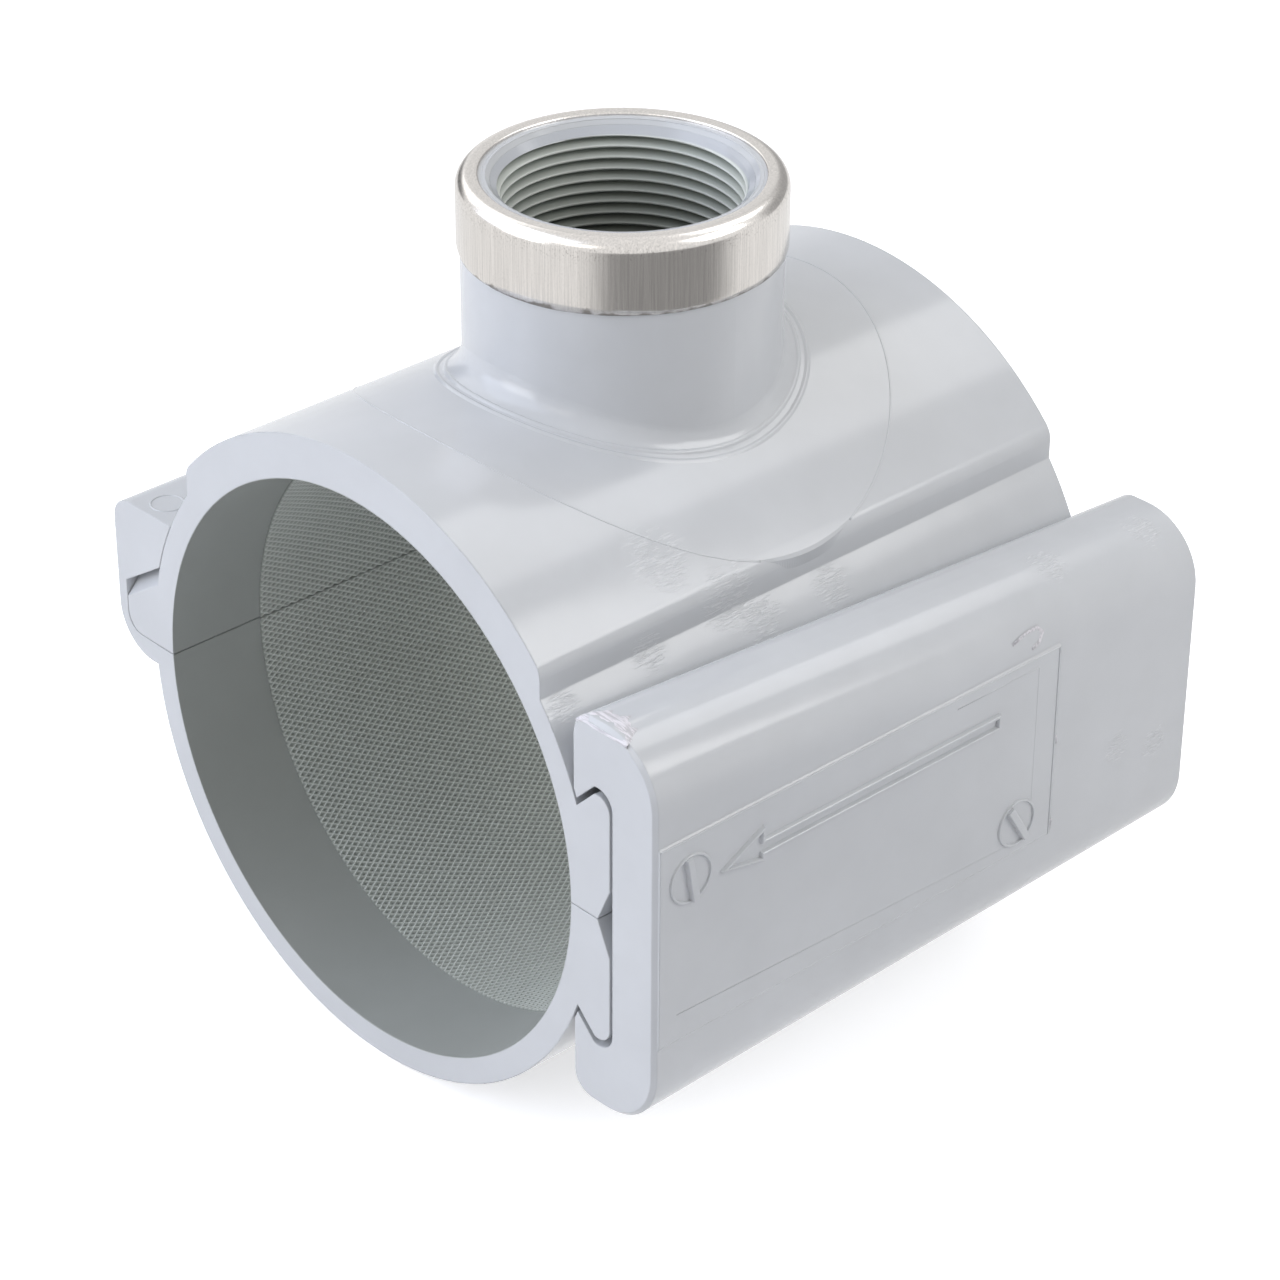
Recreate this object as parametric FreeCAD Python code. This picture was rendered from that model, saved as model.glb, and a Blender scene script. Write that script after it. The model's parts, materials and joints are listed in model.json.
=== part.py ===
import FreeCAD, Part
import math
import os

from FreeCAD import Vector

# Tapping saddle for a plastic pressure pipe, in millimetres.
# The run pipe lies along Y, the outlet points up along +Z, and the wedge clip is on the +X side.
# The origin is where the outlet's axis crosses the run's axis.

# Run bore and the two half shells
PIPE_DIAMETER = 114.3
SADDLE_LENGTH = 130.0
LOWER_WALL = 5.35
CROWN_STEP = 3.5
CROWN_EDGE_ANGLE = 37.6
CROWN_EDGE_ROUND = 4.5
SPLIT_GAP = 0.2

# Outlet boss, its thread and the way down to the run
THREAD_DIAMETER = 48.1
THREAD_LENGTH = 27.0
MOUTH_CHAMFER = 0.9
BOSS_WALL = 5.75
BOSS_HEIGHT = 34.4
BOSS_FOOT_ROUND = 5.0
TAP_WAY_STEP = 2.75

# Stainless band pressed round the outlet's rim
BAND_THICKNESS = 0.65
BAND_HEIGHT = 14.6
BAND_EDGE_ROUND = 2.6
BAND_LIP_SETBACK = 1.25

# Rubber ring in the bore round the tap way
SEAL_LAND = 4.7
SEAL_WIDTH = 5.0
SEAL_DEPTH = 2.6
SEAL_CLEARANCE = 0.05

# Dovetail rails on the two halves, which the wedge draws together
RAIL_DEPTH = 4.7
RAIL_HALF_HEIGHT = 25.7
RAIL_NOSE_WIDTH = 3.85
RAIL_NOSE_ROUND = 3.0
RAIL_LIP_ROUND = 1.2
RAIL_HEEL_DEPTH = 3.1
RAIL_HEEL_HEIGHT = 7.0
RAIL_TAPER = 0.042

# Wedge clip
WEDGE_TOP_TAPER = 0.068
WEDGE_BOTTOM_TAPER = 0.020
WEDGE_OVERHANG = 11.7
WEDGE_BACK = 10.7
WEDGE_LIP_REACH = 10.6
WEDGE_LIP_HEIGHT = 13.2
WEDGE_LIP_ROUND = 5.0
WEDGE_BACK_ROUND = 13.0
WEDGE_SIDE_GAP = 0.7
WEDGE_TOP_GAP = 1.5
WEDGE_SHELL_GAP = 0.5
WEDGE_CHANNEL_ROUND = 3.7
WEDGE_END_CHAMFER = 0.8

# Raised panel on the wedge's back
PANEL_LENGTH = 101.5
PANEL_HALF_HEIGHT = 20.6
PANEL_RISE = 0.4
PANEL_EDGE_RUN = 0.5

# Hinge side: a lug on the upper half inside a hook on the lower half
LUG_REACH = 8.5
LUG_ROOT_HEIGHT = 18.0
LUG_SLOPE = 33.0
LUG_ROUND = 4.0
LUG_LEAD_LENGTH = 3.0
LUG_LEAD_DROP = 3.5
HINGE_GAP = 0.15
HOOK_WALL = 2.5
HOOK_FLOOR = 4.4
HOOK_TIP_DEPTH = 10.9
HOOK_TOP_ROUND = 5.0
HOOK_FOOT_ROUND = 9.6

# Radii and ends that follow from the sizes above
bore_radius = PIPE_DIAMETER / 2
shell_radius = bore_radius + LOWER_WALL
crown_radius = shell_radius + CROWN_STEP
mid_wall_radius = bore_radius + LOWER_WALL / 2
near_end = -SADDLE_LENGTH / 2
far_end = SADDLE_LENGTH / 2
split_height = SPLIT_GAP / 2
thread_radius = THREAD_DIAMETER / 2
mouth_radius = thread_radius + MOUTH_CHAMFER
rim_chamfer = BAND_EDGE_ROUND - BAND_THICKNESS
boss_radius = thread_radius + BOSS_WALL
boss_rim = crown_radius + BOSS_HEIGHT
tap_way_radius = thread_radius - TAP_WAY_STEP
seal_inner_radius = tap_way_radius + SEAL_LAND
seal_outer_radius = seal_inner_radius + SEAL_WIDTH
rail_face = shell_radius + RAIL_DEPTH
wedge_channel = rail_face + WEDGE_SIDE_GAP
wedge_back = wedge_channel + WEDGE_BACK
wedge_far_end = far_end + WEDGE_OVERHANG
hook_top = LUG_ROOT_HEIGHT + HOOK_TIP_DEPTH
lug_slope = math.tan(math.radians(LUG_SLOPE))
# Cutting tools reach this far past what they cut
OVERCUT = 5.0
# Edges are picked by where they lie, to within this
PICKING = 0.01


def run_cylinder(radius, start=near_end, length=SADDLE_LENGTH):
    """A cylinder about the run's axis."""
    return Part.makeCylinder(radius, length, Vector(0, start, 0), Vector(0, 1, 0))


def through_cylinder(radius):
    """A cylinder about the run's axis that cuts through both ends."""
    return run_cylinder(radius, near_end - OVERCUT, SADDLE_LENGTH + 2 * OVERCUT)


def outlet_cylinder(radius, bottom, top):
    """A cylinder about the outlet's axis."""
    return Part.makeCylinder(radius, top - bottom, Vector(0, 0, bottom), Vector(0, 0, 1))


def block(x_range, y_range, z_range):
    """A box between two values on each axis."""
    return Part.makeBox(
        x_range[1] - x_range[0],
        y_range[1] - y_range[0],
        z_range[1] - z_range[0],
        Vector(x_range[0], y_range[0], z_range[0]),
    )


def rounded_outline(y, corners):
    """A closed outline in the plane at y, from corners (x, z, radius) joined by straight runs."""
    points = [Vector(x, y, z) for x, z, _ in corners]
    starts, ends, middles = [], [], []
    count = len(corners)
    for i in range(count):
        radius = corners[i][2]
        back = (points[i - 1] - points[i]).normalize()
        ahead = (points[(i + 1) % count] - points[i]).normalize()
        half_angle = back.getAngle(ahead) / 2
        setback = radius / math.tan(half_angle)
        inward = (back + ahead).normalize()
        starts.append(points[i] + back * setback)
        ends.append(points[i] + ahead * setback)
        middles.append(points[i] + inward * (radius / math.sin(half_angle) - radius))
    edges = []
    for i in range(count):
        if corners[i][2] > 0:
            edges.append(Part.Arc(starts[i], middles[i], ends[i]).toShape())
        edges.append(Part.makeLine(ends[i], starts[(i + 1) % count]))
    return Part.Wire(edges)


def between(near_y, near_corners, far_y, far_corners):
    """A ruled solid from one outline to a like outline further along the run."""
    wires = [rounded_outline(near_y, near_corners), rounded_outline(far_y, far_corners)]
    return Part.makeLoft(wires, True, True)


def prism(near_y, far_y, corners):
    """A solid of one outline, straight along the run."""
    face = Part.Face(rounded_outline(near_y, corners))
    return face.extrude(Vector(0, far_y - near_y, 0))


def flipped(corners):
    """The same outline mirrored in the split plane, in the same turning sense."""
    return [(x, -z, radius) for x, z, radius in reversed(corners)]


def taper_drop(taper, y):
    """How much closer to the split plane a tapered side is at y than at the near end."""
    return taper * (y - near_end)


def shell_x(radius, z):
    """How far from the outlet's plane a circle about the run is at height z."""
    return math.sqrt(radius ** 2 - z ** 2)


def rail_corners(y):
    """The upper rail's outline at y: heel at the split, face, nose, and undercut back to the wall."""
    tip = RAIL_HALF_HEIGHT - taper_drop(RAIL_TAPER, y)
    nose_x = rail_face - RAIL_NOSE_WIDTH
    # The undercut runs down at 45 degrees from the nose until it is inside the wall
    total = nose_x + tip
    run = (total - math.sqrt(2 * mid_wall_radius ** 2 - (nose_x - tip) ** 2)) / 2
    return [
        (shell_x(mid_wall_radius, split_height), split_height, 0),
        (rail_face - RAIL_HEEL_DEPTH, split_height, 0),
        (rail_face, RAIL_HEEL_HEIGHT, 0),
        (rail_face, tip, RAIL_NOSE_ROUND),
        (nose_x, tip, RAIL_LIP_ROUND),
        (nose_x - run, tip - run, 0),
    ]


def channel_corners(y):
    """The outline of the wedge's undercut channel at y, open towards the shell."""
    top = RAIL_HALF_HEIGHT + WEDGE_TOP_GAP - taper_drop(RAIL_TAPER, y)
    nose_x = rail_face - RAIL_NOSE_WIDTH
    mouth_x = wedge_channel - WEDGE_LIP_REACH - OVERCUT
    # The lips' undersides lie parallel to the rails' undercuts
    mouth = top - (nose_x - mouth_x)
    return [
        (mouth_x, -mouth, 0),
        (nose_x, -top, RAIL_LIP_ROUND),
        (wedge_channel, -top, WEDGE_CHANNEL_ROUND),
        (wedge_channel, top, WEDGE_CHANNEL_ROUND),
        (nose_x, top, RAIL_LIP_ROUND),
        (mouth_x, mouth, 0),
    ]


def slab(z_range):
    """A box as wide and long as the run, between two heights."""
    reach = crown_radius + OVERCUT
    return block((-reach, reach), (near_end - OVERCUT, far_end + OVERCUT), z_range)


def crown():
    """The thicker top of the upper half, with a rounded shoulder along each side."""
    edge_angle = math.radians(CROWN_EDGE_ANGLE)
    edge_x = shell_radius * math.cos(edge_angle)
    band = block((-edge_x, edge_x), (near_end, far_end), (0, crown_radius + OVERCUT))
    solid = run_cylinder(crown_radius).common(band)
    shoulder_z = shell_x(crown_radius, edge_x)
    shoulders = [
        edge for edge in solid.Edges
        if abs(edge.Length - SADDLE_LENGTH) < PICKING
        and all(abs(vertex.Z - shoulder_z) < PICKING for vertex in edge.Vertexes)
    ]
    return solid.makeFillet(CROWN_EDGE_ROUND, shoulders)


def boss():
    """The outlet boss, from inside the run's wall up to its rim."""
    solid = outlet_cylinder(boss_radius, mid_wall_radius / 2, boss_rim)
    rim = [
        edge for edge in solid.Edges
        if edge.Closed and abs(edge.BoundBox.ZMin - boss_rim) < PICKING
    ]
    return solid.makeChamfer(rim_chamfer, rim)


def thread_hole():
    """What the outlet takes out: a chamfered mouth, the threaded length and the tap way."""
    mouth = Part.makeCone(
        thread_radius,
        mouth_radius,
        MOUTH_CHAMFER,
        Vector(0, 0, boss_rim - MOUTH_CHAMFER),
        Vector(0, 0, 1),
    )
    thread = outlet_cylinder(thread_radius, boss_rim - THREAD_LENGTH, boss_rim)
    way = outlet_cylinder(tap_way_radius, 0, boss_rim)
    return mouth.fuse([thread, way])


def seal_space(clearance):
    """The room for the rubber ring: a collar about the outlet, as deep as the ring is thick."""
    collar = outlet_cylinder(seal_outer_radius - clearance, 0, crown_radius)
    collar = collar.cut(outlet_cylinder(seal_inner_radius + clearance, 0, crown_radius))
    depth = run_cylinder(bore_radius + SEAL_DEPTH - clearance).cut(run_cylinder(bore_radius + clearance))
    return collar.common(depth)


def lug_corners(gap, drop):
    """The hinge lug's outline, grown by a gap all round, with its sloped top lowered by a drop."""
    face_x = -(shell_radius + LUG_REACH + gap)
    root_x = -shell_x(shell_radius, LUG_ROOT_HEIGHT)
    root_top = LUG_ROOT_HEIGHT - drop + gap / math.cos(math.radians(LUG_SLOPE))
    bottom = split_height - gap
    # The top slope is carried on inwards until it is inside the wall
    inner_x = -shell_x(mid_wall_radius, LUG_ROOT_HEIGHT)
    return [
        (-shell_x(mid_wall_radius, bottom), bottom, 0),
        (face_x, bottom, LUG_ROUND),
        (face_x, root_top - lug_slope * (root_x - face_x), 0),
        (inner_x, root_top + lug_slope * (inner_x - root_x), 0),
    ]


def hinge_lug():
    """The lug along the upper half, with a sloped lead at its near end."""
    lead_end = near_end + LUG_LEAD_LENGTH
    lead = between(near_end, lug_corners(0, LUG_LEAD_DROP), lead_end, lug_corners(0, 0))
    return lead.fuse(prism(lead_end, far_end, lug_corners(0, 0)))


def hinge_hook():
    """The hook along the lower half, which goes out under the lug and over its top."""
    outer_x = -(shell_radius + LUG_REACH + HINGE_GAP + HOOK_WALL)
    inner_x = -shell_x(mid_wall_radius, hook_top)
    low = -HOOK_FLOOR
    outside = [
        (-shell_x(mid_wall_radius, low), low, 0),
        (outer_x, low, HOOK_FOOT_ROUND),
        (outer_x, hook_top, HOOK_TOP_ROUND),
        (inner_x, hook_top, 0),
    ]
    solid = prism(near_end, far_end, outside)
    cavity = prism(near_end - OVERCUT, far_end + OVERCUT, lug_corners(HINGE_GAP, 0))
    # Above the split the hook stays clear of the upper half's wall
    room = through_cylinder(shell_radius + HINGE_GAP).common(slab((-split_height, shell_radius)))
    return solid.cut(cavity).cut(room)


def upper_saddle():
    """The upper half: shell, crown, outlet boss, rail and hinge lug in one moulding."""
    shell = run_cylinder(shell_radius).common(slab((split_height, crown_radius)))
    outside = shell.fuse(crown()).removeSplitter()
    with_boss = outside.fuse(boss()).removeSplitter()
    foot = [
        edge for edge in with_boss.Edges
        if 0 < edge.BoundBox.ZMin < edge.BoundBox.ZMax < crown_radius + PICKING
        and max(abs(edge.BoundBox.XMin), edge.BoundBox.XMax) < boss_radius + PICKING
        and edge.Curve.TypeId == "Part::GeomBSplineCurve"
    ]
    with_foot = with_boss.makeFillet(BOSS_FOOT_ROUND, foot)
    rail = between(near_end, rail_corners(near_end), far_end, rail_corners(far_end))
    body = with_foot.fuse([rail, hinge_lug()]).cut(through_cylinder(bore_radius))
    return body.cut(thread_hole()).cut(seal_space(0))


def lower_saddle():
    """The lower half: shell, rail and hinge hook in one moulding."""
    rail = between(
        near_end, flipped(rail_corners(near_end)), far_end, flipped(rail_corners(far_end))
    )
    shell = run_cylinder(shell_radius).common(slab((-crown_radius, -split_height)))
    return shell.fuse([rail, hinge_hook()]).cut(through_cylinder(bore_radius))


def wedge_height(taper, y):
    """How far the wedge's top or bottom, whichever has this taper, is from the split plane at y."""
    return RAIL_HALF_HEIGHT + WEDGE_TOP_GAP + WEDGE_LIP_HEIGHT - taper_drop(taper, y)


def long_edges(solid, x):
    """The edges that run the wedge's whole length at x."""
    return [
        edge for edge in solid.Edges
        if edge.BoundBox.YLength > SADDLE_LENGTH
        and all(abs(vertex.X - x) < PICKING for vertex in edge.Vertexes)
    ]


def wedge_block():
    """The wedge's outside: top and bottom that taper, rounded long edges and chamfered ends."""
    lip_x = wedge_channel - WEDGE_LIP_REACH
    side = Part.makePolygon([
        Vector(lip_x, near_end, -wedge_height(WEDGE_BOTTOM_TAPER, near_end)),
        Vector(lip_x, wedge_far_end, -wedge_height(WEDGE_BOTTOM_TAPER, wedge_far_end)),
        Vector(lip_x, wedge_far_end, wedge_height(WEDGE_TOP_TAPER, wedge_far_end)),
        Vector(lip_x, near_end, wedge_height(WEDGE_TOP_TAPER, near_end)),
        Vector(lip_x, near_end, -wedge_height(WEDGE_BOTTOM_TAPER, near_end)),
    ])
    solid = Part.Face(side).extrude(Vector(wedge_back - lip_x, 0, 0))
    solid = solid.makeFillet(WEDGE_LIP_ROUND, long_edges(solid, lip_x))
    solid = solid.makeFillet(WEDGE_BACK_ROUND, long_edges(solid, wedge_back))
    end_edges = [
        edge for edge in solid.Edges
        if edge.BoundBox.YMin > wedge_far_end - PICKING or edge.BoundBox.YMax < near_end + PICKING
    ]
    return solid.makeChamfer(WEDGE_END_CHAMFER, end_edges)


def wedge_clip():
    """The tapered clip that slides along both rails and draws the halves together."""
    cut_start = near_end - OVERCUT
    cut_end = wedge_far_end + OVERCUT
    channel = between(cut_start, channel_corners(cut_start), cut_end, channel_corners(cut_end))
    room = run_cylinder(shell_radius + WEDGE_SHELL_GAP, cut_start, cut_end - cut_start)
    return wedge_block().fuse(label_panel()).cut(channel).cut(room)


def label_panel():
    """The raised panel on the wedge's back, with sloped edges."""
    face_x = wedge_back + PANEL_RISE
    # The slopes go on into the back by as much again, so that the two solids join
    root_x = wedge_back - PANEL_RISE
    root_half = PANEL_HALF_HEIGHT + 2 * PANEL_EDGE_RUN
    corners = [
        (root_x, -root_half, 0),
        (face_x, -PANEL_HALF_HEIGHT, 0),
        (face_x, PANEL_HALF_HEIGHT, 0),
        (root_x, root_half, 0),
    ]
    start = near_end + WEDGE_END_CHAMFER
    return prism(start, start + PANEL_LENGTH, corners)


def outlet_band():
    """The stainless band: a sleeve round the boss, turned over its rim to an inner lip."""
    outer = boss_radius + BAND_THICKNESS
    top = boss_rim + BAND_THICKNESS
    bottom = top - BAND_HEIGHT
    lip = mouth_radius + BAND_LIP_SETBACK
    # The shoulder is three equal flats round a quarter circle
    shoulder = [
        (
            outer - BAND_EDGE_ROUND * (1 - math.sin(turn)),
            top - BAND_EDGE_ROUND * (1 - math.cos(turn)),
            0,
        )
        for turn in (0, math.pi / 6, math.pi / 3, math.pi / 2)
    ]
    inside = [
        (outer, bottom, 0),
        (boss_radius, bottom, 0),
        (boss_radius, boss_rim - rim_chamfer, 0),
        (boss_radius - rim_chamfer, boss_rim, 0),
        (lip, boss_rim, 0),
        (lip, top, 0),
    ]
    face = Part.Face(rounded_outline(0, shoulder + inside))
    return face.revolve(Vector(0, 0, 0), Vector(0, 0, 1), 360)


def outlet_seal():
    """The rubber ring in its groove in the bore, flush with the bore."""
    return seal_space(SEAL_CLEARANCE)


PIECES = {
    "upper_saddle": upper_saddle,
    "lower_saddle": lower_saddle,
    "wedge_clip": wedge_clip,
    "outlet_band": outlet_band,
    "outlet_seal": outlet_seal,
}


def main():
    """Builds each piece and writes it to its own file."""
    os.makedirs("parts", exist_ok=True)
    for name, make in PIECES.items():
        shape = make()
        solids = len(shape.Solids)
        print(name, "solids", solids, "valid", shape.isValid(), "volume", round(shape.Volume, 1))
        shape.exportStep("parts/" + name + ".step")


main()
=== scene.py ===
"""Looks of a tapping saddle for a plastic pressure pipe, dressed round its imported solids.

The run pipe lies along Y, the outlet points up along +Z and the wedge clip is on the +X side.
Everything is in metres, in the solids' own frame.
"""

import json
import logging
import math
import random
from dataclasses import dataclass
from enum import Enum
from typing import Any, Iterable, Sequence

import bmesh
import bpy
from mathutils import Matrix, Vector
from mathutils.bvhtree import BVHTree


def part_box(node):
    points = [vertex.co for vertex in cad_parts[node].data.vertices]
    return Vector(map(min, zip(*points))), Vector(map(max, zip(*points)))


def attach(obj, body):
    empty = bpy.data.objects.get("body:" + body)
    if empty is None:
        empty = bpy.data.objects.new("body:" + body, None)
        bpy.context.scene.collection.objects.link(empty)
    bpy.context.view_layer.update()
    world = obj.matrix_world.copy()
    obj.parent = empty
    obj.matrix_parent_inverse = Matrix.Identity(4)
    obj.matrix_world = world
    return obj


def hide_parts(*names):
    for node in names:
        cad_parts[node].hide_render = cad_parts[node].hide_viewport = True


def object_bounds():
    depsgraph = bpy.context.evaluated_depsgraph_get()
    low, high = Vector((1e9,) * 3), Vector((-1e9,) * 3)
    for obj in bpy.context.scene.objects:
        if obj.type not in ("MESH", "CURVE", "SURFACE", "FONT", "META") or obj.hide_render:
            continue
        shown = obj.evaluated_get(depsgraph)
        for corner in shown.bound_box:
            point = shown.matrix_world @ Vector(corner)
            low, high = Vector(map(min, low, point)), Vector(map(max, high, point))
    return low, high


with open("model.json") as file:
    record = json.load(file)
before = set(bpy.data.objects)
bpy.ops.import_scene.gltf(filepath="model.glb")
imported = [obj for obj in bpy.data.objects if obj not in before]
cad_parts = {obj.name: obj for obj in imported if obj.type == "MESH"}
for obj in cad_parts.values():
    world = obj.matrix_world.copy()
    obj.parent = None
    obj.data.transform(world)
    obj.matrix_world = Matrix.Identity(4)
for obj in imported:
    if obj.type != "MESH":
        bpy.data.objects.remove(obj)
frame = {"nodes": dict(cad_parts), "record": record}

Tree = bpy.types.NodeTree
Socket = bpy.types.NodeSocket
# A mesh, as its points and its faces
Mesh = tuple[list[Vector], list[tuple[int, ...]]]
# A line's points, as pairs of Y and Z
Route = tuple[tuple[float, float], ...]

MM = 0.001
SADDLE_BODY = "saddle"
WEDGE_BODY = "wedge"

logging.basicConfig(level=logging.INFO, format="%(levelname)s %(message)s")
log = logging.getLogger("tapping_saddle")

cad_low, cad_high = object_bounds()


def linear(hex_code: str) -> tuple[float, float, float, float]:
    """Turns an sRGB colour into the linear one that a shader takes.

    Args:
        hex_code: six hex digits, red, green and blue.

    Returns:
        Linear red, green, blue and an alpha of one.
    """
    channels = []
    for start in (0, 2, 4):
        value = int(hex_code[start:start + 2], 16) / 255
        channels.append(value / 12.92 if value <= 0.04045 else ((value + 0.055) / 1.055) ** 2.4)
    return (channels[0], channels[1], channels[2], 1.0)


def add_node(
    tree: Tree,
    kind: str,
    inputs: dict[str | int, Any] | None = None,
    **settings: Any,
) -> bpy.types.Node:
    """Adds one node with its settings, values and links.

    Args:
        tree: the node tree that takes it.
        kind: the node's type, such as ShaderNodeMath.
        inputs: values, nodes' output sockets, or nodes for their first one, by name or number.
        settings: attributes of the node.

    Returns:
        The new node.
    """
    node = tree.nodes.new(kind)
    for name, value in settings.items():
        setattr(node, name, value)
    for key, value in (inputs or {}).items():
        if isinstance(value, bpy.types.Node):
            value = value.outputs[0]
        if isinstance(value, Socket):
            tree.links.new(value, node.inputs[key])
        else:
            node.inputs[key].default_value = value
    return node


def new_material(name: str) -> tuple[bpy.types.Material, Tree, bpy.types.Node]:
    """Makes a material with only its output node.

    Args:
        name: the finish's plain name.

    Returns:
        The material, its node tree and its output node.
    """
    material = bpy.data.materials.new(name)
    material.use_nodes = True
    tree = material.node_tree
    tree.nodes.clear()
    output = tree.nodes.new("ShaderNodeOutputMaterial")
    return material, tree, output


def new_piece(
    name: str,
    points: Sequence[Vector],
    faces: Sequence[Sequence[int]],
    material: bpy.types.Material,
    body: str,
    slot: str,
    smooth: bool = True,
) -> bpy.types.Object:
    """Makes a mesh piece, dresses it and lets it ride on a body.

    Args:
        name: the piece's name.
        points: its corner points, in metres.
        faces: its faces, as numbers of points.
        material: its finish.
        body: the moving body that it rides on.
        slot: the record's material slot; not used.
        smooth: whether the faces shade as one curved surface.

    Returns:
        The new object.
    """
    mesh = bpy.data.meshes.new(name)
    mesh.from_pydata([tuple(p) for p in points], [], [tuple(f) for f in faces])
    mesh.validate()
    mesh.polygons.foreach_set("use_smooth", [smooth] * len(mesh.polygons))
    mesh.materials.append(material)
    piece = bpy.data.objects.new(name, mesh)
    bpy.context.scene.collection.objects.link(piece)
    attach(piece, body)
    log.info("%s: %d faces on %s", name, len(mesh.polygons), body)
    return piece


def strips(rows: int, width: int, closed: bool, turned: bool = False) -> list[tuple[int, ...]]:
    """Joins rows of points with quads, each row to the next one.

    Args:
        rows: how many rows of points there are.
        width: how many points a row has.
        closed: whether the last row joins up with the first.
        turned: whether the quads face the other way.

    Returns:
        Faces.
    """
    faces: list[tuple[int, ...]] = []
    for row in range(rows if closed else rows - 1):
        here, there = row * width, (row + 1) % rows * width
        for i in range(width - 1):
            quad = (here + i, there + i, there + i + 1, here + i + 1)
            faces.append((quad[0], *quad[:0:-1]) if turned else quad)
    return faces


# How far the thread reaches down from the boss's rim
THREAD_DEPTH = 27 * MM


@dataclass(frozen=True)
class ThreadForm:
    """The outlet's tapered pipe thread: its turns and the smooth lead-in above them."""

    pitch: float = 2.209 * MM
    depth: float = 1.62 * MM
    taper: float = 1 / 32
    lead_in: float = 2.3 * MM
    wall_clearance: float = 0.02 * MM


@dataclass(frozen=True)
class KnurlForm:
    """The bore's diamond knurl: the pitches of its crossing ridges and their height."""

    pitch_round: float = 1.27 * MM
    pitch_along: float = 2.17 * MM
    ridge: float = 0.5 * MM
    pit_rise: float = 0.02 * MM
    smooth_end: float = 21.1 * MM


@dataclass(frozen=True)
class SaddleSizes:
    """Sizes that several sub-assemblies share, read from the frame."""

    bore_radius: float
    thread_radius: float
    boss_rim: float
    thread_bottom: float
    thread_top: float
    near_end: float
    far_end: float
    panel_face: float
    band_low: Vector
    band_high: Vector
    thread: ThreadForm = ThreadForm()
    knurl: KnurlForm = KnurlForm()

    @classmethod
    def from_frame(cls) -> "SaddleSizes":
        """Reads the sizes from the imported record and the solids' boxes."""
        mounts = {mount["name"]: mount for mount in frame["record"]["mounts"]}
        thread = mounts["outlet_thread"]
        upper_low, upper_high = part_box("upper_saddle")
        wedge_low, wedge_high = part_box("wedge_clip")
        band_low, band_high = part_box("outlet_band")
        half_thread = thread["dims"]["length_mm"] * MM / 2
        middle = thread["pos_m"][2]
        return cls(
            bore_radius=mounts["run_bore"]["dims"]["r_mm"] * MM,
            thread_radius=thread["dims"]["r_mm"] * MM,
            boss_rim=upper_high.z,
            thread_bottom=upper_high.z - THREAD_DEPTH,
            thread_top=middle + half_thread,
            near_end=upper_low.y,
            far_end=upper_high.y,
            panel_face=wedge_high.x,
            band_low=band_low,
            band_high=band_high,
        )


class Region(Enum):
    """Where on the saddle a moulded surface lies, which decides its shade."""

    OUTSIDE = "outside"
    MARK = "mark"
    BORE = "bore"
    THREAD = "thread"


@dataclass(frozen=True)
class WornPlace:
    """A spot that handling scuffed, as a ball round a point of the surface."""

    x: float
    y: float
    z: float
    radius: float


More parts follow.
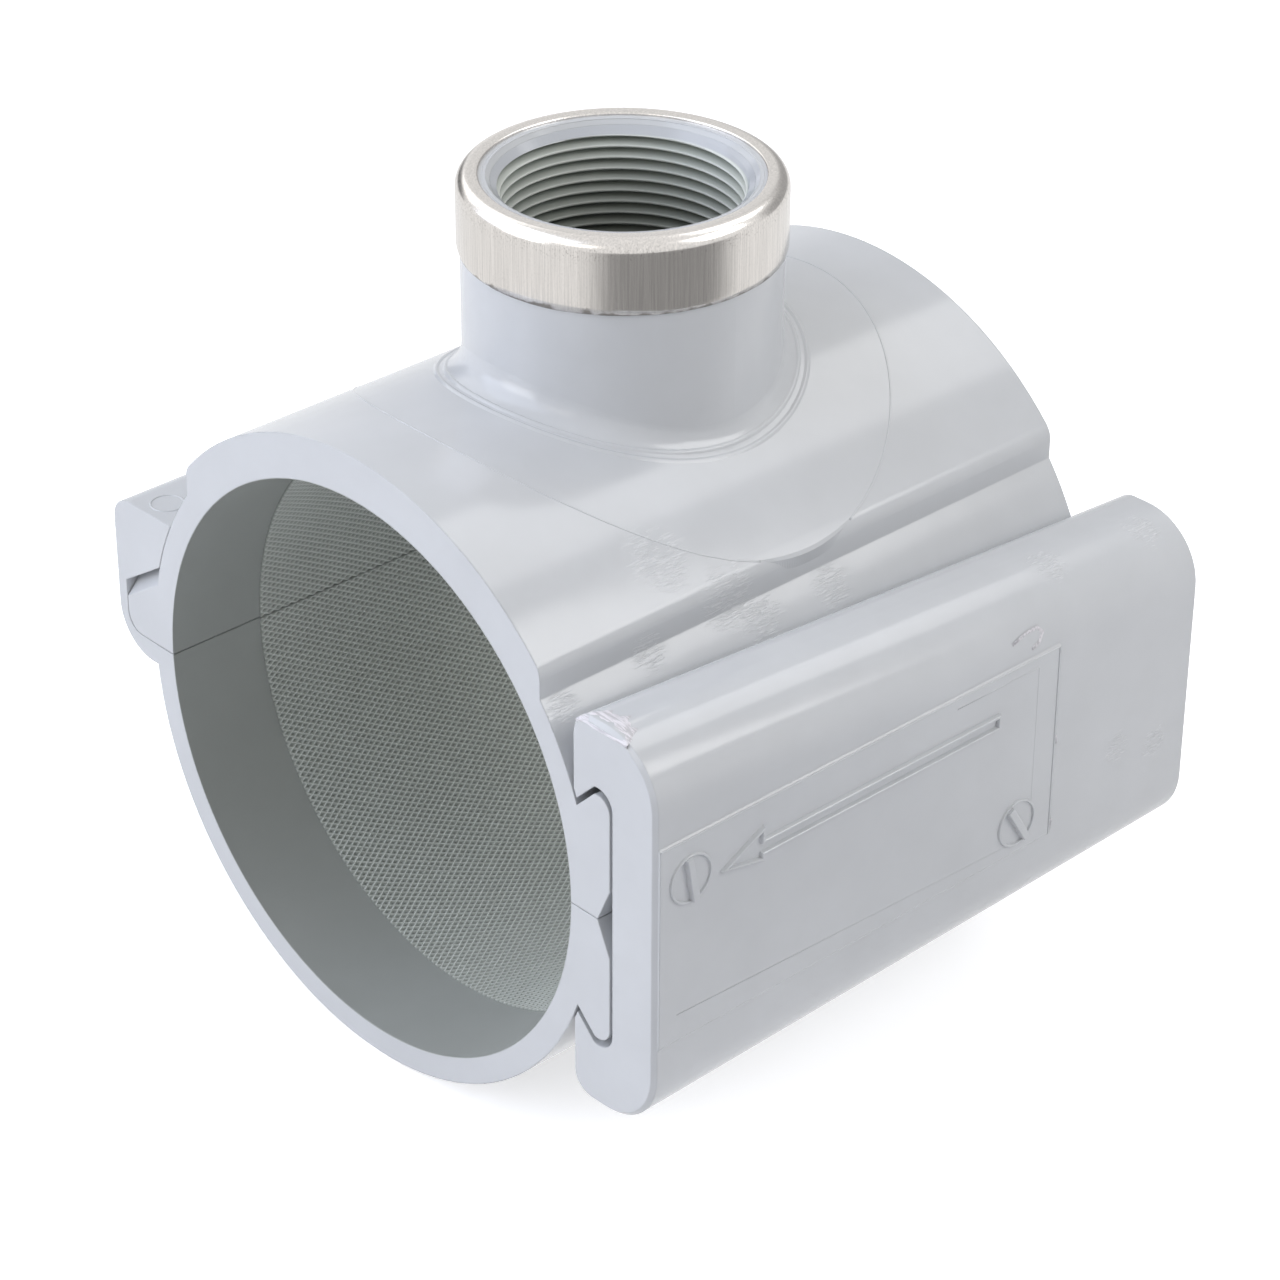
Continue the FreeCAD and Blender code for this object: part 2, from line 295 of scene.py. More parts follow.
@dataclass(frozen=True)
class MouldedPvc:
    """Rigid grey PVC as it leaves the mould: glossy, a little wavy, scuffed where it was handled.

    Soft lamps show in it as broad patches with ragged edges, because the wall shrank unevenly.
    Inside the bore the plastic is duller, and its colour is darker and greener: the darkness is
    painted shade.
    """

    outside_hex: str = "CACCCF"
    # The bore's colour is darker than the outside's: painted shade inside the bore
    bore_painted_shade_hex: str = "A6A9A6"
    lead_in_hex: str = "BCBFC4"
    # The pit colour is painted shade in the knurl, the crest colour a painted highlight on the
    # ridges' tops
    pit_painted_shade_hex: str = "828782"
    flank_hex: str = "C2C6C1"
    crest_painted_highlight_hex: str = "E6E9E5"
    # The root and deep colours are painted shade inside the thread
    root_painted_shade_hex: str = "8F948E"
    thread_hex: str = "CED3CD"
    deep_painted_shade_hex: str = "7B7C74"
    scuff_hex: str = "F4F4F6"
    roughness: float = 0.15
    bore_roughness: float = 0.36
    ior: float = 1.53
    waves: tuple[tuple[float, float], ...] = ((26 * MM, 0.09 * MM), (6.5 * MM, 0.012 * MM))
    # Points this near the bore's wall count as the bore, and the turns' shade starts over this span
    bore_margin: float = 0.12 * MM
    mouth_blend: tuple[float, float] = (0.2 * MM, -0.1 * MM)
    # How far up a ridge its foot's painted shade goes, and between which shares its top gets a
    # painted highlight
    flank_start: float = 0.8
    crest_highlight_span: tuple[float, float] = (0.84, 0.98)
    mottle_size: float = 18 * MM
    mottle_levels: tuple[float, float] = (0.97, 1.02)
    # The real scratches are finer than the render can show, so these are drawn as coarse as need be
    scratch_spacing: float = 0.3 * MM
    scratch_stretch: float = 9.0
    scratch_turn: float = 0.35
    scratch_range: tuple[float, float] = (0.6, 0.72)
    # What a scuff does: more in a worn place's middle, and how white, dull and deep it gets
    scuff_core: float = 0.3
    scuff_middle: float = 0.12
    scuff_whitening: float = 0.22
    scuff_dulling: float = 0.3
    scuff_depth: float = 0.05 * MM
    edge_radius: float = 0.45 * MM
    worn_places: tuple[WornPlace, ...] = (
        WornPlace(43 * MM, -31 * MM, 50 * MM, 9 * MM),
        WornPlace(49 * MM, -20 * MM, 41 * MM, 9 * MM),
        WornPlace(52 * MM, -14 * MM, 35 * MM, 7 * MM),
        WornPlace(52 * MM, 4 * MM, 35 * MM, 6 * MM),
        WornPlace(50 * MM, -40 * MM, 38 * MM, 6 * MM),
        WornPlace(70 * MM, 42 * MM, 32 * MM, 6 * MM),
        WornPlace(71 * MM, 68 * MM, 30 * MM, 6 * MM),
        WornPlace(79 * MM, 56 * MM, -9.5 * MM, 5 * MM),
        WornPlace(79 * MM, 67 * MM, -13 * MM, 5 * MM),
        WornPlace(51 * MM, -61 * MM, 36 * MM, 5 * MM),
    )

    def material(self, region: Region, sizes: SaddleSizes) -> bpy.types.Material:
        """Builds the material for one region of the mouldings.

        Args:
            region: which surface it is for.
            sizes: the saddle's sizes, which say where a shade begins.

        Returns:
            The material.
        """
        made, tree, output = new_material(f"moulded_pvc_{region.value}")
        place = add_node(tree, "ShaderNodeTexCoord").outputs["Object"]
        inside, shade = self._shade(tree, place, region, sizes)
        worn = self._wear_share(tree, place)
        mottle = add_node(tree, "ShaderNodeTexNoise", {
            "Vector": place, "Scale": 1 / self.mottle_size, "Detail": 3.0, "Roughness": 0.55,
        })
        mottle_range = add_node(tree, "ShaderNodeMapRange", {
            "Value": mottle.outputs["Fac"], "From Min": 0.3, "From Max": 0.7,
            "To Min": self.mottle_levels[0], "To Max": self.mottle_levels[1],
        })
        mottled = add_node(tree, "ShaderNodeMix", {
            0: 1.0, 6: shade, 7: mottle_range,
        }, data_type="RGBA", blend_type="MULTIPLY")
        whitened = add_node(tree, "ShaderNodeMath", {
            0: worn, 1: self.scuff_whitening,
        }, operation="MULTIPLY")
        scuffed = add_node(tree, "ShaderNodeMix", {
            0: whitened, 6: mottled.outputs[2], 7: linear(self.scuff_hex),
        }, data_type="RGBA")
        gloss = add_node(tree, "ShaderNodeMapRange", {
            "Value": inside, "To Min": self.roughness, "To Max": self.bore_roughness,
        })
        worn_gloss = add_node(tree, "ShaderNodeMath", {
            0: worn, 1: self.scuff_dulling, 2: gloss,
        }, operation="MULTIPLY_ADD")
        shader = add_node(tree, "ShaderNodeBsdfPrincipled", {
            "Base Color": scuffed.outputs[2], "Roughness": worn_gloss, "IOR": self.ior,
            "Normal": self._relief(tree, place, worn, region),
        })
        tree.links.new(shader.outputs[0], output.inputs["Surface"])
        return made

    def _shade(
        self, tree: Tree, place: Socket, region: Region, sizes: SaddleSizes
    ) -> tuple[Socket, Socket]:
        """How much of a point is inside the bore or the thread, and the plastic's colour there,
        with painted shade and highlights inside.
        """
        split = add_node(tree, "ShaderNodeSeparateXYZ", {0: place})
        across, along, height = (split.outputs[axis] for axis in ("X", "Y", "Z"))
        if region is Region.THREAD:
            flat = add_node(tree, "ShaderNodeCombineXYZ", {"X": across, "Y": along})
            distance = add_node(tree, "ShaderNodeVectorMath", {0: flat}, operation="LENGTH")
            form = sizes.thread
            root = add_node(tree, "ShaderNodeMath", {
                0: height, 1: form.taper, 2: sizes.thread_radius - sizes.thread_top * form.taper,
            }, operation="MULTIPLY_ADD")
            # The thread's roots get painted shade and its crests a painted highlight
            shade = self._ridge_shade(
                tree, root.outputs[0], distance.outputs["Value"], form.depth, self.root_painted_shade_hex,
                self.thread_hex,
            )
            # Painted shade: the thread darkens towards its bottom, deep in the outlet
            deep = add_node(tree, "ShaderNodeMapRange", {
                "Value": height, "From Min": sizes.thread_top, "From Max": sizes.thread_bottom,
            })
            dimmed = add_node(tree, "ShaderNodeMix", {
                0: deep, 6: shade, 7: linear(self.deep_painted_shade_hex),
            }, data_type="RGBA", blend_type="MULTIPLY")
            turns_end = sizes.boss_rim - form.lead_in
            first, last = (turns_end + off for off in self.mouth_blend)
            inside = add_node(tree, "ShaderNodeMapRange", {
                "Value": height, "From Min": first, "From Max": last,
            }).outputs[0]
            return inside, add_node(tree, "ShaderNodeMix", {
                0: inside, 6: linear(self.lead_in_hex), 7: dimmed.outputs[2],
            }, data_type="RGBA").outputs[2]
        flat = add_node(tree, "ShaderNodeCombineXYZ", {"X": across, "Z": height})
        distance = add_node(tree, "ShaderNodeVectorMath", {0: flat}, operation="LENGTH")
        inside = add_node(tree, "ShaderNodeMath", {
            0: distance.outputs["Value"], 1: sizes.bore_radius + self.bore_margin,
        }, operation="LESS_THAN").outputs[0]
        if region is Region.BORE:
            # The knurl's pits get painted shade and its ridges' tops a painted highlight
            return inside, self._ridge_shade(
                tree, sizes.bore_radius, distance.outputs["Value"], sizes.knurl.ridge, self.pit_painted_shade_hex,
                self.flank_hex,
            )
        # Inside the bore the colour turns to the darker bore colour: painted shade
        return inside, add_node(tree, "ShaderNodeMix", {
            0: inside, 6: linear(self.outside_hex), 7: linear(self.bore_painted_shade_hex),
        }, data_type="RGBA").outputs[2]

    def _ridge_shade(
        self,
        tree: Tree,
        root: Socket | float,
        distance: Socket,
        depth: float,
        low_hex: str,
        flank_hex: str,
    ) -> Socket:
        """The colour of a ridged wall: painted shade at the ridges' feet, a pale painted highlight
        along their tops.

        Args:
            tree: the node tree.
            root: the ridges' foot, as a distance from the axis.
            distance: the point's distance from the axis.
            depth: the ridges' height.
            low_hex: the painted shade at the foot.
            flank_hex: the shade below the tops.

        Returns:
            The shade.
        """
        rise = add_node(tree, "ShaderNodeMath", {0: root, 1: distance}, operation="SUBTRACT")
        # Painted shade: the colour darkens towards the ridges' feet
        share = add_node(tree, "ShaderNodeMapRange", {
            "Value": rise, "From Max": depth * self.flank_start,
        })
        flank = add_node(tree, "ShaderNodeMix", {
            0: share, 6: linear(low_hex), 7: linear(flank_hex),
        }, data_type="RGBA")
        # Painted highlight: the ridges' tops turn pale
        first, last = (depth * part for part in self.crest_highlight_span)
        painted_crest = add_node(tree, "ShaderNodeMapRange", {
            "Value": rise, "From Min": first, "From Max": last,
        })
        return add_node(tree, "ShaderNodeMix", {
            0: painted_crest, 6: flank.outputs[2], 7: linear(self.crest_painted_highlight_hex),
        }, data_type="RGBA").outputs[2]

    def _ball_share(self, tree: Tree, place: Socket, spot: WornPlace) -> Socket:
        """How near a point is to a spot: 1 in its middle, 0 from its radius on."""
        distance = add_node(tree, "ShaderNodeVectorMath", {
            0: place, 1: (spot.x, spot.y, spot.z),
        }, operation="DISTANCE")
        return add_node(tree, "ShaderNodeMapRange", {
            "Value": distance.outputs["Value"], "From Min": spot.radius,
            "From Max": spot.radius * self.scuff_core,
        }, interpolation_type="SMOOTHSTEP").outputs[0]

    def _wear_share(self, tree: Tree, place: Socket) -> Socket:
        """Fine scuffs, most of them along the run, in the places where the saddle was handled."""
        drawn_out = add_node(tree, "ShaderNodeMapping", {
            "Vector": place, "Rotation": (0.0, 0.0, self.scratch_turn),
            "Scale": (1.0, 1 / self.scratch_stretch, 1.0),
        })
        lines = add_node(tree, "ShaderNodeTexNoise", {
            "Vector": drawn_out, "Scale": 1 / self.scratch_spacing, "Detail": 2.0,
            "Distortion": 0.6,
        })
        handled: Socket | float = 0.0
        for spot in self.worn_places:
            near = self._ball_share(tree, place, spot)
            handled = add_node(tree, "ShaderNodeMath", {
                0: handled, 1: near,
            }, operation="MAXIMUM").outputs[0]
        # The middle of a worn place is scuffed most
        raised = add_node(tree, "ShaderNodeMath", {
            0: handled, 1: self.scuff_middle, 2: lines.outputs["Fac"],
        }, operation="MULTIPLY_ADD")
        first, last = self.scratch_range
        thin = add_node(tree, "ShaderNodeMapRange", {
            "Value": raised, "From Min": first, "From Max": last,
        })
        return add_node(tree, "ShaderNodeMath", {
            0: thin, 1: handled,
        }, operation="MULTIPLY").outputs[0]

    def _relief(self, tree: Tree, place: Socket, worn: Socket, region: Region) -> Socket:
        """The surface's small relief: shrink waves and scuffs, and softened edges on the solids.

        Args:
            tree: the node tree.
            place: the point's place.
            worn: how scuffed it is.
            region: which surface it is; the finely ridged ones keep their crisp edges.

        Returns:
            The normal.
        """
        inputs: dict[str | int, Any] = {}
        if region is Region.OUTSIDE:
            edges = add_node(tree, "ShaderNodeBevel", {"Radius": self.edge_radius}, samples=4)
            inputs = {"Normal": edges.outputs[0]}
        for length, height in self.waves:
            swell = add_node(tree, "ShaderNodeTexNoise", {
                "Vector": place, "Scale": 1 / length, "Detail": 2.0, "Roughness": 0.4,
            })
            bump = add_node(tree, "ShaderNodeBump", {
                "Strength": 1.0, "Distance": height, "Height": swell.outputs["Fac"], **inputs,
            })
            inputs = {"Normal": bump.outputs[0]}
        return add_node(tree, "ShaderNodeBump", {
            "Strength": 1.0, "Distance": self.scuff_depth, "Height": worn, **inputs,
        }).outputs[0]


@dataclass(frozen=True)
class BruisedPvc:
    """PVC that blows have crushed: stress-whitened, dull and creased."""

    white_hex: str = "E6E3E8"
    grey_hex: str = "C2C0C4"
    roughness: float = 0.42
    crease_spacing: float = 0.45 * MM
    crease_length: float = 4 * MM
    crease_depth: float = 0.08 * MM
    ior: float = 1.53

    def material(self) -> bpy.types.Material:
        """Builds the material of the battered corner."""
        made, tree, output = new_material("bruised_pvc")
        place = add_node(tree, "ShaderNodeTexCoord").outputs["Object"]
        drawn_out = add_node(tree, "ShaderNodeMapping", {
            "Vector": place, "Scale": (self.crease_spacing / self.crease_length, 1.0, 1.0),
        })
        creases = add_node(tree, "ShaderNodeTexNoise", {
            "Vector": drawn_out, "Scale": 1 / self.crease_spacing, "Detail": 3.0,
        })
        share = add_node(tree, "ShaderNodeMapRange", {
            "Value": creases.outputs["Fac"], "From Min": 0.58, "From Max": 0.42,
        })
        shade = add_node(tree, "ShaderNodeMix", {
            0: share, 6: linear(self.white_hex), 7: linear(self.grey_hex),
        }, data_type="RGBA")
        relief = add_node(tree, "ShaderNodeBump", {
            "Strength": 0.8, "Distance": self.crease_depth, "Height": creases.outputs["Fac"],
        })
        shader = add_node(tree, "ShaderNodeBsdfPrincipled", {
            "Base Color": shade.outputs[2], "Roughness": self.roughness, "IOR": self.ior,
            "Normal": relief,
        })
        tree.links.new(shader.outputs[0], output.inputs["Surface"])
        return made


@dataclass(frozen=True)
class PressedStainless:
    """Stainless strip rolled round the boss: bright, with fine upright draw lines and small pits.

    The draw lines spread each reflection sideways, so the wall changes slowly from light to dark.
    The strip is speckled where it was stretched over the shoulder, and darker along its foot.
    """

    steel_hex: str = "E2DEDA"
    speck_hex: str = "8C8782"
    dark_foot_hex: str = "8A847C"
    roughness: float = 0.17
    line_spacing: float = 0.3 * MM
    line_length: float = 16 * MM
    pit_spacing: float = 0.34 * MM
    line_depth: float = 0.014 * MM
    pit_depth: float = 0.012 * MM
    streak_levels: tuple[float, float] = (0.86, 1.04)
    speckled_width: float = 2.4 * MM
    speck_shares: tuple[float, float] = (0.1, 0.6)
    # The darker strip along the foot: its width, patch size and strength
    dark_foot_width: float = 1.2 * MM
    dark_foot_patch: float = 3 * MM
    dark_foot_strength: float = 0.85
    # How far the gloss spreads round the plain roughness
    roughness_spread: tuple[float, float] = (-0.03, 0.1)

    def material(self, sizes: SaddleSizes, shoulder: float) -> bpy.types.Material:
        """Builds the material of the band.

        Args:
            sizes: the saddle's sizes, which give the band's box.
            shoulder: the rounding's radius at the band's top.

        Returns:
            The material.
        """
        made, tree, output = new_material("pressed_stainless")
        place = add_node(tree, "ShaderNodeTexCoord").outputs["Object"]
        height = add_node(tree, "ShaderNodeSeparateXYZ", {0: place}).outputs["Z"]
        upright = add_node(tree, "ShaderNodeMapping", {
            "Vector": place, "Scale": (1.0, 1.0, self.line_spacing / self.line_length),
        })
        lines = add_node(tree, "ShaderNodeTexNoise", {
            "Vector": upright, "Scale": 1 / self.line_spacing, "Detail": 4.0, "Roughness": 0.6,
        })
        pits = add_node(tree, "ShaderNodeTexNoise", {
            "Vector": place, "Scale": 1 / self.pit_spacing, "Detail": 3.0, "Roughness": 0.7,
        })
        streaks = add_node(tree, "ShaderNodeMapRange", {
            "Value": lines.outputs["Fac"], "From Min": 0.35, "From Max": 0.68,
            "To Min": self.streak_levels[0], "To Max": self.streak_levels[1],
        })
        streaked = add_node(tree, "ShaderNodeMix", {
            0: 1.0, 6: linear(self.steel_hex), 7: streaks,
        }, data_type="RGBA", blend_type="MULTIPLY")
        speckled = add_node(tree, "ShaderNodeMix", {
            0: self._speck_share(tree, height, pits.outputs["Fac"], sizes.band_high.z - shoulder),
            6: streaked.outputs[2], 7: linear(self.speck_hex),
        }, data_type="RGBA")
        # Darker along the foot, with an uneven upper edge
        darkened_foot = add_node(tree, "ShaderNodeMix", {
            0: self._dark_foot_share(tree, place, height, sizes.band_low.z), 6: speckled.outputs[2],
            7: linear(self.dark_foot_hex),
        }, data_type="RGBA")
        gloss = add_node(tree, "ShaderNodeMapRange", {
            "Value": pits.outputs["Fac"], "From Min": 0.35, "From Max": 0.7,
            "To Min": self.roughness + self.roughness_spread[0],
            "To Max": self.roughness + self.roughness_spread[1],
        })
        lined = add_node(tree, "ShaderNodeBump", {
            "Strength": 0.6, "Distance": self.line_depth, "Height": lines.outputs["Fac"],
        })
        pitted = add_node(tree, "ShaderNodeBump", {
            "Strength": 0.3, "Distance": self.pit_depth, "Height": pits.outputs["Fac"],
            "Normal": lined,
        })
        shader = add_node(tree, "ShaderNodeBsdfPrincipled", {
            "Base Color": darkened_foot.outputs[2], "Metallic": 1.0, "Roughness": gloss, "Normal": pitted,
        })
        tree.links.new(shader.outputs[0], output.inputs["Surface"])
        return made

    def _speck_share(self, tree: Tree, height: Socket, pits: Socket, middle: float) -> Socket:
        """Dark specks, dense at the shoulder's start and fewer away from it."""
        off = add_node(tree, "ShaderNodeMath", {0: height, 1: middle}, operation="SUBTRACT")
        away = add_node(tree, "ShaderNodeMath", {0: off}, operation="ABSOLUTE")
        near = add_node(tree, "ShaderNodeMapRange", {
            "Value": away, "From Min": self.speckled_width, "From Max": 0.0,
            "To Min": self.speck_shares[0], "To Max": self.speck_shares[1],
        }, interpolation_type="SMOOTHSTEP")
        speck = add_node(tree, "ShaderNodeMapRange", {
            "Value": pits, "From Min": 0.56, "From Max": 0.66,
        })
        return add_node(tree, "ShaderNodeMath", {
            0: near, 1: speck,
        }, operation="MULTIPLY").outputs[0]

    def _dark_foot_share(self, tree: Tree, place: Socket, height: Socket, foot: float) -> Socket:
        """The darkening along the foot, with an uneven upper edge."""
        patches = add_node(tree, "ShaderNodeTexNoise", {
            "Vector": place, "Scale": 1 / self.dark_foot_patch, "Detail": 4.0,
        })
        edge = add_node(tree, "ShaderNodeMath", {
            0: patches.outputs["Fac"], 1: -4 * self.dark_foot_width, 2: height,
        }, operation="MULTIPLY_ADD")
        start = foot - 1.4 * self.dark_foot_width
        return add_node(tree, "ShaderNodeMapRange", {
            "Value": edge, "From Min": start, "From Max": start - 0.5 * self.dark_foot_width,
            "To Max": self.dark_foot_strength,
        }).outputs[0]


@dataclass(frozen=True)
class MouldedRubber:
    """Black moulded rubber: matt, with a fine bloom that greys it."""

    rubber_hex: str = "242424"
    roughness: float = 0.62
    bloom_hex: str = "3A3A38"
    bloom_spacing: float = 1.2 * MM
    bloom_depth: float = 0.03 * MM
    ior: float = 1.52

    def material(self) -> bpy.types.Material:
        """Builds the material of the seal."""
        made, tree, output = new_material("moulded_rubber")
        place = add_node(tree, "ShaderNodeTexCoord").outputs["Object"]
        bloom = add_node(tree, "ShaderNodeTexNoise", {
            "Vector": place, "Scale": 1 / self.bloom_spacing, "Detail": 4.0,
        })
        greyed = add_node(tree, "ShaderNodeMix", {
            0: bloom.outputs["Fac"], 6: linear(self.rubber_hex), 7: linear(self.bloom_hex),
        }, data_type="RGBA")
        relief = add_node(tree, "ShaderNodeBump", {
            "Strength": 0.4, "Distance": self.bloom_depth, "Height": bloom.outputs["Fac"],
        })
        shader = add_node(tree, "ShaderNodeBsdfPrincipled", {
            "Base Color": greyed.outputs[2], "Roughness": self.roughness, "IOR": self.ior,
            "Normal": relief,
        })
        tree.links.new(shader.outputs[0], output.inputs["Surface"])
        return made


@dataclass(frozen=True)
class Finishes:
    """The finishes of the whole saddle, one material each."""

    outside: bpy.types.Material
    mark: bpy.types.Material
    bore: bpy.types.Material
    thread: bpy.types.Material
    battered: bpy.types.Material
    steel: bpy.types.Material
    rubber: bpy.types.Material

    @classmethod
    def make(cls, sizes: SaddleSizes, band_shoulder: float) -> "Finishes":
        """Builds every material once.

        Args:
            sizes: the saddle's sizes.
            band_shoulder: the rounding's radius at the band's top.

        Returns:
            The set of finishes.
        """
        pvc = MouldedPvc()
        return cls(
            outside=pvc.material(Region.OUTSIDE, sizes),
            mark=pvc.material(Region.MARK, sizes),
            bore=pvc.material(Region.BORE, sizes),
            thread=pvc.material(Region.THREAD, sizes),
            battered=BruisedPvc().material(),
            steel=PressedStainless().material(sizes, band_shoulder),
            rubber=MouldedRubber().material(),
        )


class Skin:
    """A solid's surface, on which raised lines are laid by looking straight at it."""

    def __init__(self, node: str) -> None:
        """Reads the surface of one solid.

        Args:
            node: the solid's name.
        """
        mesh = frame["nodes"][node].data
        corners = [tuple(v.co) for v in mesh.vertices]
        self.tree = BVHTree.FromPolygons(corners, [tuple(p.vertices) for p in mesh.polygons])

    def below(self, x: float, y: float, height: float) -> tuple[Vector, Vector] | None:
        """Finds the surface straight below a point.

        Args:
            x: the point's place across the run.
            y: the point's place along the run.
            height: the height that the look down starts from.

        Returns:
            The point on the surface and its outward normal, or None where nothing is below.
        """
        place, normal, _, _ = self.tree.ray_cast(Vector((x, y, height)), Vector((0, 0, -1)))
        if place is None:
            return None
        return place, normal if normal.z >= 0 else -normal

    def beside(self, x: float, y: float, z: float) -> Vector:
        """The point where a look from x towards the middle first meets the surface."""
        place, _, _, _ = self.tree.ray_cast(Vector((x, y, z)), Vector((-1, 0, 0)))
        return place


class Section(Enum):
    """A raised line's cross-section, as shares of its width and height."""

    RIDGE = ((-0.5, 0.0), (-0.34, 0.85), (-0.2, 1.0), (0.2, 1.0), (0.34, 0.85), (0.5, 0.0))
    SLAB = ((-0.5, 0.0), (-0.44, 0.92), (-0.36, 1.0), (0.36, 1.0), (0.44, 0.92), (0.5, 0.0))
    BEAD = (
        (-0.5, 0.0), (-0.34, 0.2), (-0.2, 0.66), (0.0, 1.0), (0.2, 0.66), (0.34, 0.2), (0.5, 0.0)
    )


@dataclass(frozen=True)
class RaisedLine:
    """A thin raised line that a mould joint or an engraved stroke leaves on a moulding."""

    width: float
    height: float
    section: Section = Section.RIDGE
    sink: float = 0.03 * MM

    def mesh(self, places: Sequence[Vector], normals: Sequence[Vector], closed: bool) -> Mesh:
        """Sweeps the rounded section along a route on a surface.

        Args:
            places: the route's points on the surface.
            normals: the surface's outward normals there.
            closed: whether the route joins up with its start.

        Returns:
            Points and faces.
        """
        count = len(places)
        points: list[Vector] = []
        for i, (place, normal) in enumerate(zip(places, normals)):
            before = places[i - 1] if closed or i > 0 else place
            after = places[(i + 1) % count] if closed or i < count - 1 else place
            into = (place - before).normalized() if before is not place else Vector()
            out = (after - place).normalized() if after is not place else Vector()
            along = (into + out).normalized()
            side = along.cross(normal).normalized()
            # At a corner the line keeps its width, so its mitre is longer
            spread = 1 / max(0.5, abs(along.dot(out if out.length else into)))
            for across, rise in self.section.value:
                lift = self.height * rise - (self.sink if rise == 0 else 0)
                points.append(place + side * (across * self.width * spread) + normal * lift)
        ring = len(self.section.value)
        faces = strips(count, ring, closed, turned=True)
        if not closed:
            faces.append(tuple(range(ring - 1, -1, -1)))
            last = (count - 1) * ring
            faces.append(tuple(range(last, last + ring)))
        return points, faces


def joined(parts: Iterable[Mesh]) -> Mesh:
    """Puts several meshes into one.

    Args:
        parts: points and faces of each.

    Returns:
        Points and faces of all of them.
    """
    points: list[Vector] = []
    faces: list[tuple[int, ...]] = []
    for more_points, more_faces in parts:
        start = len(points)
        points.extend(more_points)
        faces.extend(tuple(start + i for i in face) for face in more_faces)
    return points, faces


@dataclass
class OutletThread:
    """The tapered female pipe thread inside the outlet, below a smooth lead-in cone."""

    sizes: SaddleSizes
    finishes: Finishes
    steps: int = 120
    # Where the turns run out at the mouth
    run_out: float = math.radians(-114)
    # Shares of the pitch and of the thread's depth, from root to root over one crest
    PROFILE = ((0.02, 0.0), (0.40, 0.90), (0.46, 1.0), (0.54, 1.0), (0.60, 0.90), (0.98, 0.0))

    def radius(self, height: float, share: float) -> float:
        """The thread's radius at a height, for a share of its depth."""
        form, top = self.sizes.thread, self.sizes.thread_top
        outer = self.sizes.thread_radius - form.wall_clearance
        turns_end = self.sizes.boss_rim - form.lead_in
        if height >= turns_end:
            return outer - form.depth * (top - height) / (top - turns_end)
        return outer - (top - height) * form.taper - share * form.depth

    def build(self) -> bpy.types.Object:
        """Builds the thread as one helical strip from its bottom to the mouth."""
        bottom, top = self.sizes.thread_bottom, self.sizes.thread_top
        pitch = self.sizes.thread.pitch
        turns = math.ceil((top - bottom) / pitch) + 2
        count = len(self.PROFILE)
        points: list[Vector] = []
        for step in range(turns * self.steps + 1):
            angle = self.run_out + 2 * math.pi * step / self.steps
            start = bottom - pitch + pitch * step / self.steps
            for across, share in self.PROFILE:
                height = min(max(start + across * pitch, bottom), top)
                radius = self.radius(height, share)
                points.append(Vector((radius * math.cos(angle), radius * math.sin(angle), height)))
        faces: list[tuple[int, ...]] = []
        for step in range(turns * self.steps):
            here, there = step * count, (step + 1) * count
            for i in range(count - 1):
                faces.append((here + i, here + i + 1, there + i + 1, there + i))
            above = here + self.steps * count
            if above + count < len(points):
                faces.append((here + count - 1, above, above + count, there + count - 1))
        finish = self.finishes.thread
        piece = new_piece(
            "outlet_thread_turns", points, faces, finish, SADDLE_BODY, "moulding", False
        )
        tidy_mesh(piece, 0.004 * MM)
        return piece


def tidy_mesh(piece: bpy.types.Object, distance: float) -> None:
    """Welds points that lie together, drops flat slivers and turns the faces outward.

    Args:
        piece: the mesh object.
        distance: points closer than this become one.
    """
    work = bmesh.new()
    work.from_mesh(piece.data)
    bmesh.ops.remove_doubles(work, verts=work.verts, dist=distance)
    bmesh.ops.dissolve_degenerate(work, edges=work.edges, dist=distance)
    bmesh.ops.recalc_face_normals(work, faces=work.faces)
    work.to_mesh(piece.data)
    work.free()


class Half(Enum):
    """The two halves of the saddle, with the angle at which each starts round the run."""

    UPPER = 0.0
    LOWER = math.pi


